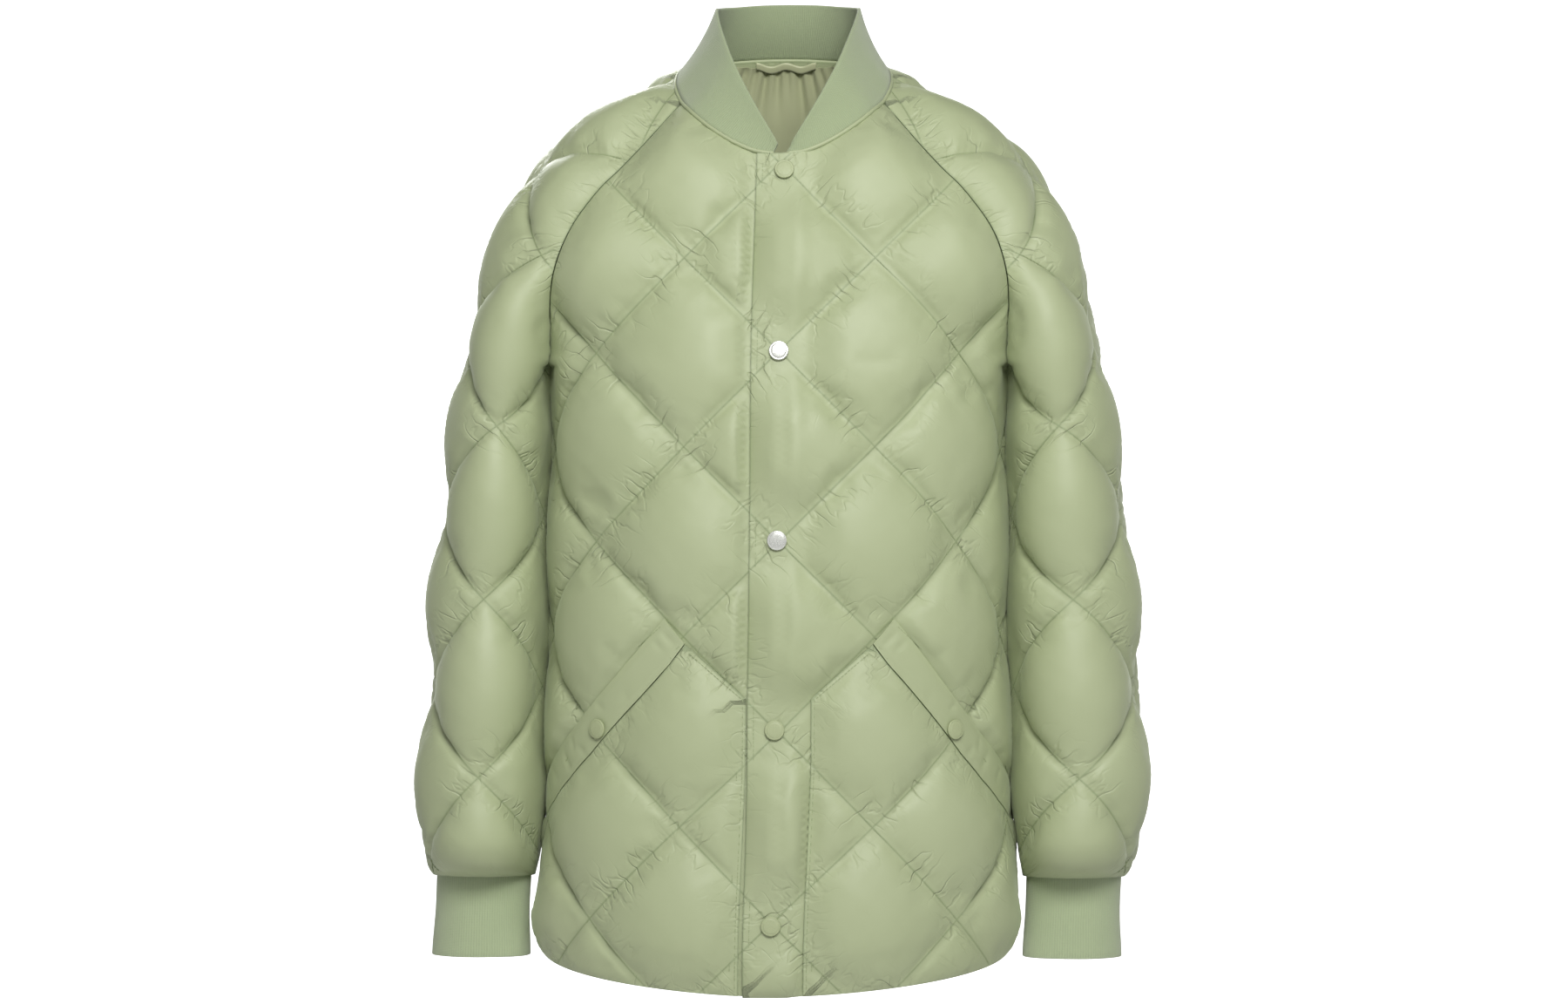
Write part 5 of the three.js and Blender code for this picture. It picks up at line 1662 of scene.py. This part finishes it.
def collar_half():
    """Rows of points over the collar's outer face, its fold and its inner face, front to back."""
    first = neck_seam + neck_upwards * COLLAR_SEAM
    rise = np.linspace(0, 1, COLLAR_ROWS)
    none, whole = np.zeros(COLLAR_ROWS), np.ones(COLLAR_ROWS)
    t = np.concatenate([rise, np.ones(FOLD_STEPS), rise[::-1]])
    fold = np.concatenate([none, np.sin(fold_angle), none])
    depth = np.concatenate([none, (1 - np.cos(fold_angle)) / 2, whole])
    bulge = COLLAR_BULGE * 4 * t * (1 - t) * np.clip(collar_tall / COLLAR_FULL_HEIGHT, 0, 1)
    points = first[:, None] + (collar_edge - first)[:, None] * t[None, :, None]
    points += neck_outward[:, None] * (bulge - RIB_THICKNESS * depth)[..., None]
    points += neck_upwards[:, None] * (fold * RIB_THICKNESS / 2)[None, :, None]
    return points, t


half, collar_t = collar_half()
right_half = half * [-1, 1, 1]
half[..., 0] += COLLAR_LEAN * collar_t
right_half[..., 0] += COLLAR_LEAN * collar_t
collar_points = np.concatenate([right_half, half[-2::-1]])
collar_along = lengths_of(collar_points[:, 0])
collar_over = np.concatenate([lengths_of(collar_points[COLLAR_STEPS]), [COLLAR_ROUND]])
collar = knit_band("rib_collar", collar_points, collar_along, collar_over, closed=False)
finish_piece(collar, COLLAR_KNIT_PAINTED_DARKER, "rib_knit", "collar")

# Neck binding: a narrow strip of satin, cut on the bias and rolled over the neck seam inside and out,
# so that no raw edge of the collar or of the shell shows.
BINDING = {"across": 2.4, "up": 1.9, "inward": 1.0, "turns": 10}
binding_angle = np.linspace(0, math.tau, BINDING["turns"], endpoint=False)[:, None]
binding_half = neck_seam[:, None] + neck_upwards[:, None] * BINDING["up"] * np.sin(binding_angle)
binding_half += neck_outward[:, None] * (BINDING["across"] * np.cos(binding_angle) - BINDING["inward"])
binding_points = np.concatenate([binding_half * [-1, 1, 1], binding_half[-2::-1]])
binding_along = lengths_of(binding_points[:, 0])
binding_over = np.linspace(0, math.tau * BINDING["up"], BINDING["turns"] + 1)
binding = knit_band("neck_binding", binding_points, binding_along, binding_over, closed=False)
finish_piece(binding, PLAIN_SATIN, "shell")

# Neck lining: thin olive lining of the upper back, gathered into the neck seam, so that it falls in
# uneven folds. The hanger loop is a narrow tape of it, caught in the seam at its two ends.
LINING = {"half": 96, "bottom_z": -240, "top": 4, "gap": 3.2, "thickness": 1}
LINING_SHOULDER, LINING_SHOULDER_CURVE = 62, 1.2
LINING_SAG, LINING_SWELL = 2.2, 3.0
SWELL_START, SWELL_FROM, SWELL_FADE = 50, 60, 120
FOLD_WIDENING = 45
FOLD_RISE, FOLD_AT_SEAM = 5, 0.4
LINING_CELLS = (150, 70)
LINING_FOLDS = table(
    "across lean depth width reach",
    (-78, -0.55, 4.2, 3.6, 60),
    (-64, -0.5, 5.4, 3.2, 90),
    (-52, -0.42, 3.4, 2.4, 44),
    (-41, -0.36, 5.0, 3.0, 84),
    (-30, -0.3, 3.0, 2.2, 36),
    (-21, -0.2, 4.6, 2.6, 62),
    (-11, -0.1, 5.2, 2.6, 96),
    (-1, 0.0, 2.6, 2.0, 34),
    (7, 0.06, 4.4, 2.6, 52),
    (17, 0.18, 5.0, 2.4, 74),
    (27, 0.26, 3.4, 2.2, 46),
    (36, 0.34, 5.4, 3.0, 92),
    (49, 0.4, 3.8, 2.6, 50),
    (62, 0.5, 5.2, 3.2, 84),
    (77, 0.55, 4.0, 3.6, 54),
)
LINING_OLIVE = (0.49, 0.52, 0.31, 1)
LINING_SHADE = (0.44, 0.46, 0.27, 1)


def lining_material():
    material, tree, shader = new_material("neck_lining")
    weave = place_group(tree, SATIN_WEAVE)
    tone = mix_colours(tree, weave.outputs["Drift"], LINING_OLIVE, LINING_SHADE)
    tree.links.new(tone, shader.inputs["Base Color"])
    roughness = map_range(tree, weave.outputs["Drift"], 0.3, 0.7, 0.4, 0.52)
    tree.links.new(roughness, shader.inputs["Roughness"])
    shader.inputs["Sheen Weight"].default_value = 0.2
    add_bump(tree, shader, weave.outputs["Height"])
    return material


OLIVE = lining_material()


def inside_back(across, up, off):
    outward = outward_of(back_point, across, up)
    return back_point(across, up) - outward * (WALL + off)[:, None]


bm, across_share, up_share = cloth_grid(*LINING_CELLS)
lining_across = LINING["half"] * (2 * across_share - 1)
beyond = np.maximum(0, np.abs(lining_across) / LINING["half"] - 0.5)
lining_top = NECK_BACK_Z - LINING["top"] - LINING_SHOULDER * beyond**LINING_SHOULDER_CURVE
lining_up = LINING["bottom_z"] + (lining_top - LINING["bottom_z"]) * up_share
below = lining_top - lining_up
folds = np.zeros(len(below))
for across, lean, depth, width, reach in zip(*LINING_FOLDS.values()):
    beside = (lining_across - across - lean * below) / (width * (1 + below / FOLD_WIDENING))
    ends = ease(1 - below / reach) * ease(below / FOLD_RISE + FOLD_AT_SEAM)
    folds += depth * np.exp(-(beside**2)) * ends
swell = LINING_SWELL * ease(below / SWELL_START) * ease(1 - (below - SWELL_FROM) / SWELL_FADE)
lining_off = LINING["gap"] + np.maximum(-LINING_SAG, LINING_SAG + swell - folds)
maps = {"cloth": np.stack([lining_across, lining_up], -1) * MM}
inner_face = sway(inside_back(lining_across, lining_up, lining_off + LINING["thickness"])) * MM
outer_face = sway(inside_back(lining_across, lining_up, lining_off)) * MM
lining = close_wall("gathered_lining", bm, inner_face, outer_face, maps)
finish_piece(lining, OLIVE, "lining", "neck_lining")

LOOP = {"half": 27, "drop": 5, "width": 6, "thickness": 1.2, "wave": 3, "gap": 2.0}
LOOP_STEPS = 60
LOOP_ROUND = 15
loop_share = np.linspace(0, 1, LOOP_STEPS + 1)
loop_across = LOOP["half"] * (2 * loop_share - 1)
loop_up = NECK_BACK_Z - LOOP["drop"] - LOOP["wave"] * np.sin(math.tau * loop_share) ** 2
loop_stand = LINING["gap"] + LINING["thickness"] + LOOP["gap"]
loop_profile = [(0, 0), (0.25, -0.2), (0.75, -0.2), (1, 0), (1, 1), (0.75, 1.2), (0.25, 1.2), (0, 1)]
loop_rows = np.stack([
    inside_back(
        loop_across,
        loop_up + tall * LOOP["width"],
        np.full(LOOP_STEPS + 1, loop_stand) + off * LOOP["thickness"],
    )
    for tall, off in loop_profile
], 1)
loop_rows = swayed(loop_rows)
loop_along = lengths_of(loop_rows[:, 0])
loop_over = np.concatenate([lengths_of(loop_rows[0]), [LOOP_ROUND]])
loop = knit_band("hanging_loop", loop_rows, loop_along, loop_over, closed=False)
finish_piece(loop, OLIVE, "lining", "hanger_loop")

bpy.context.view_layer.update()
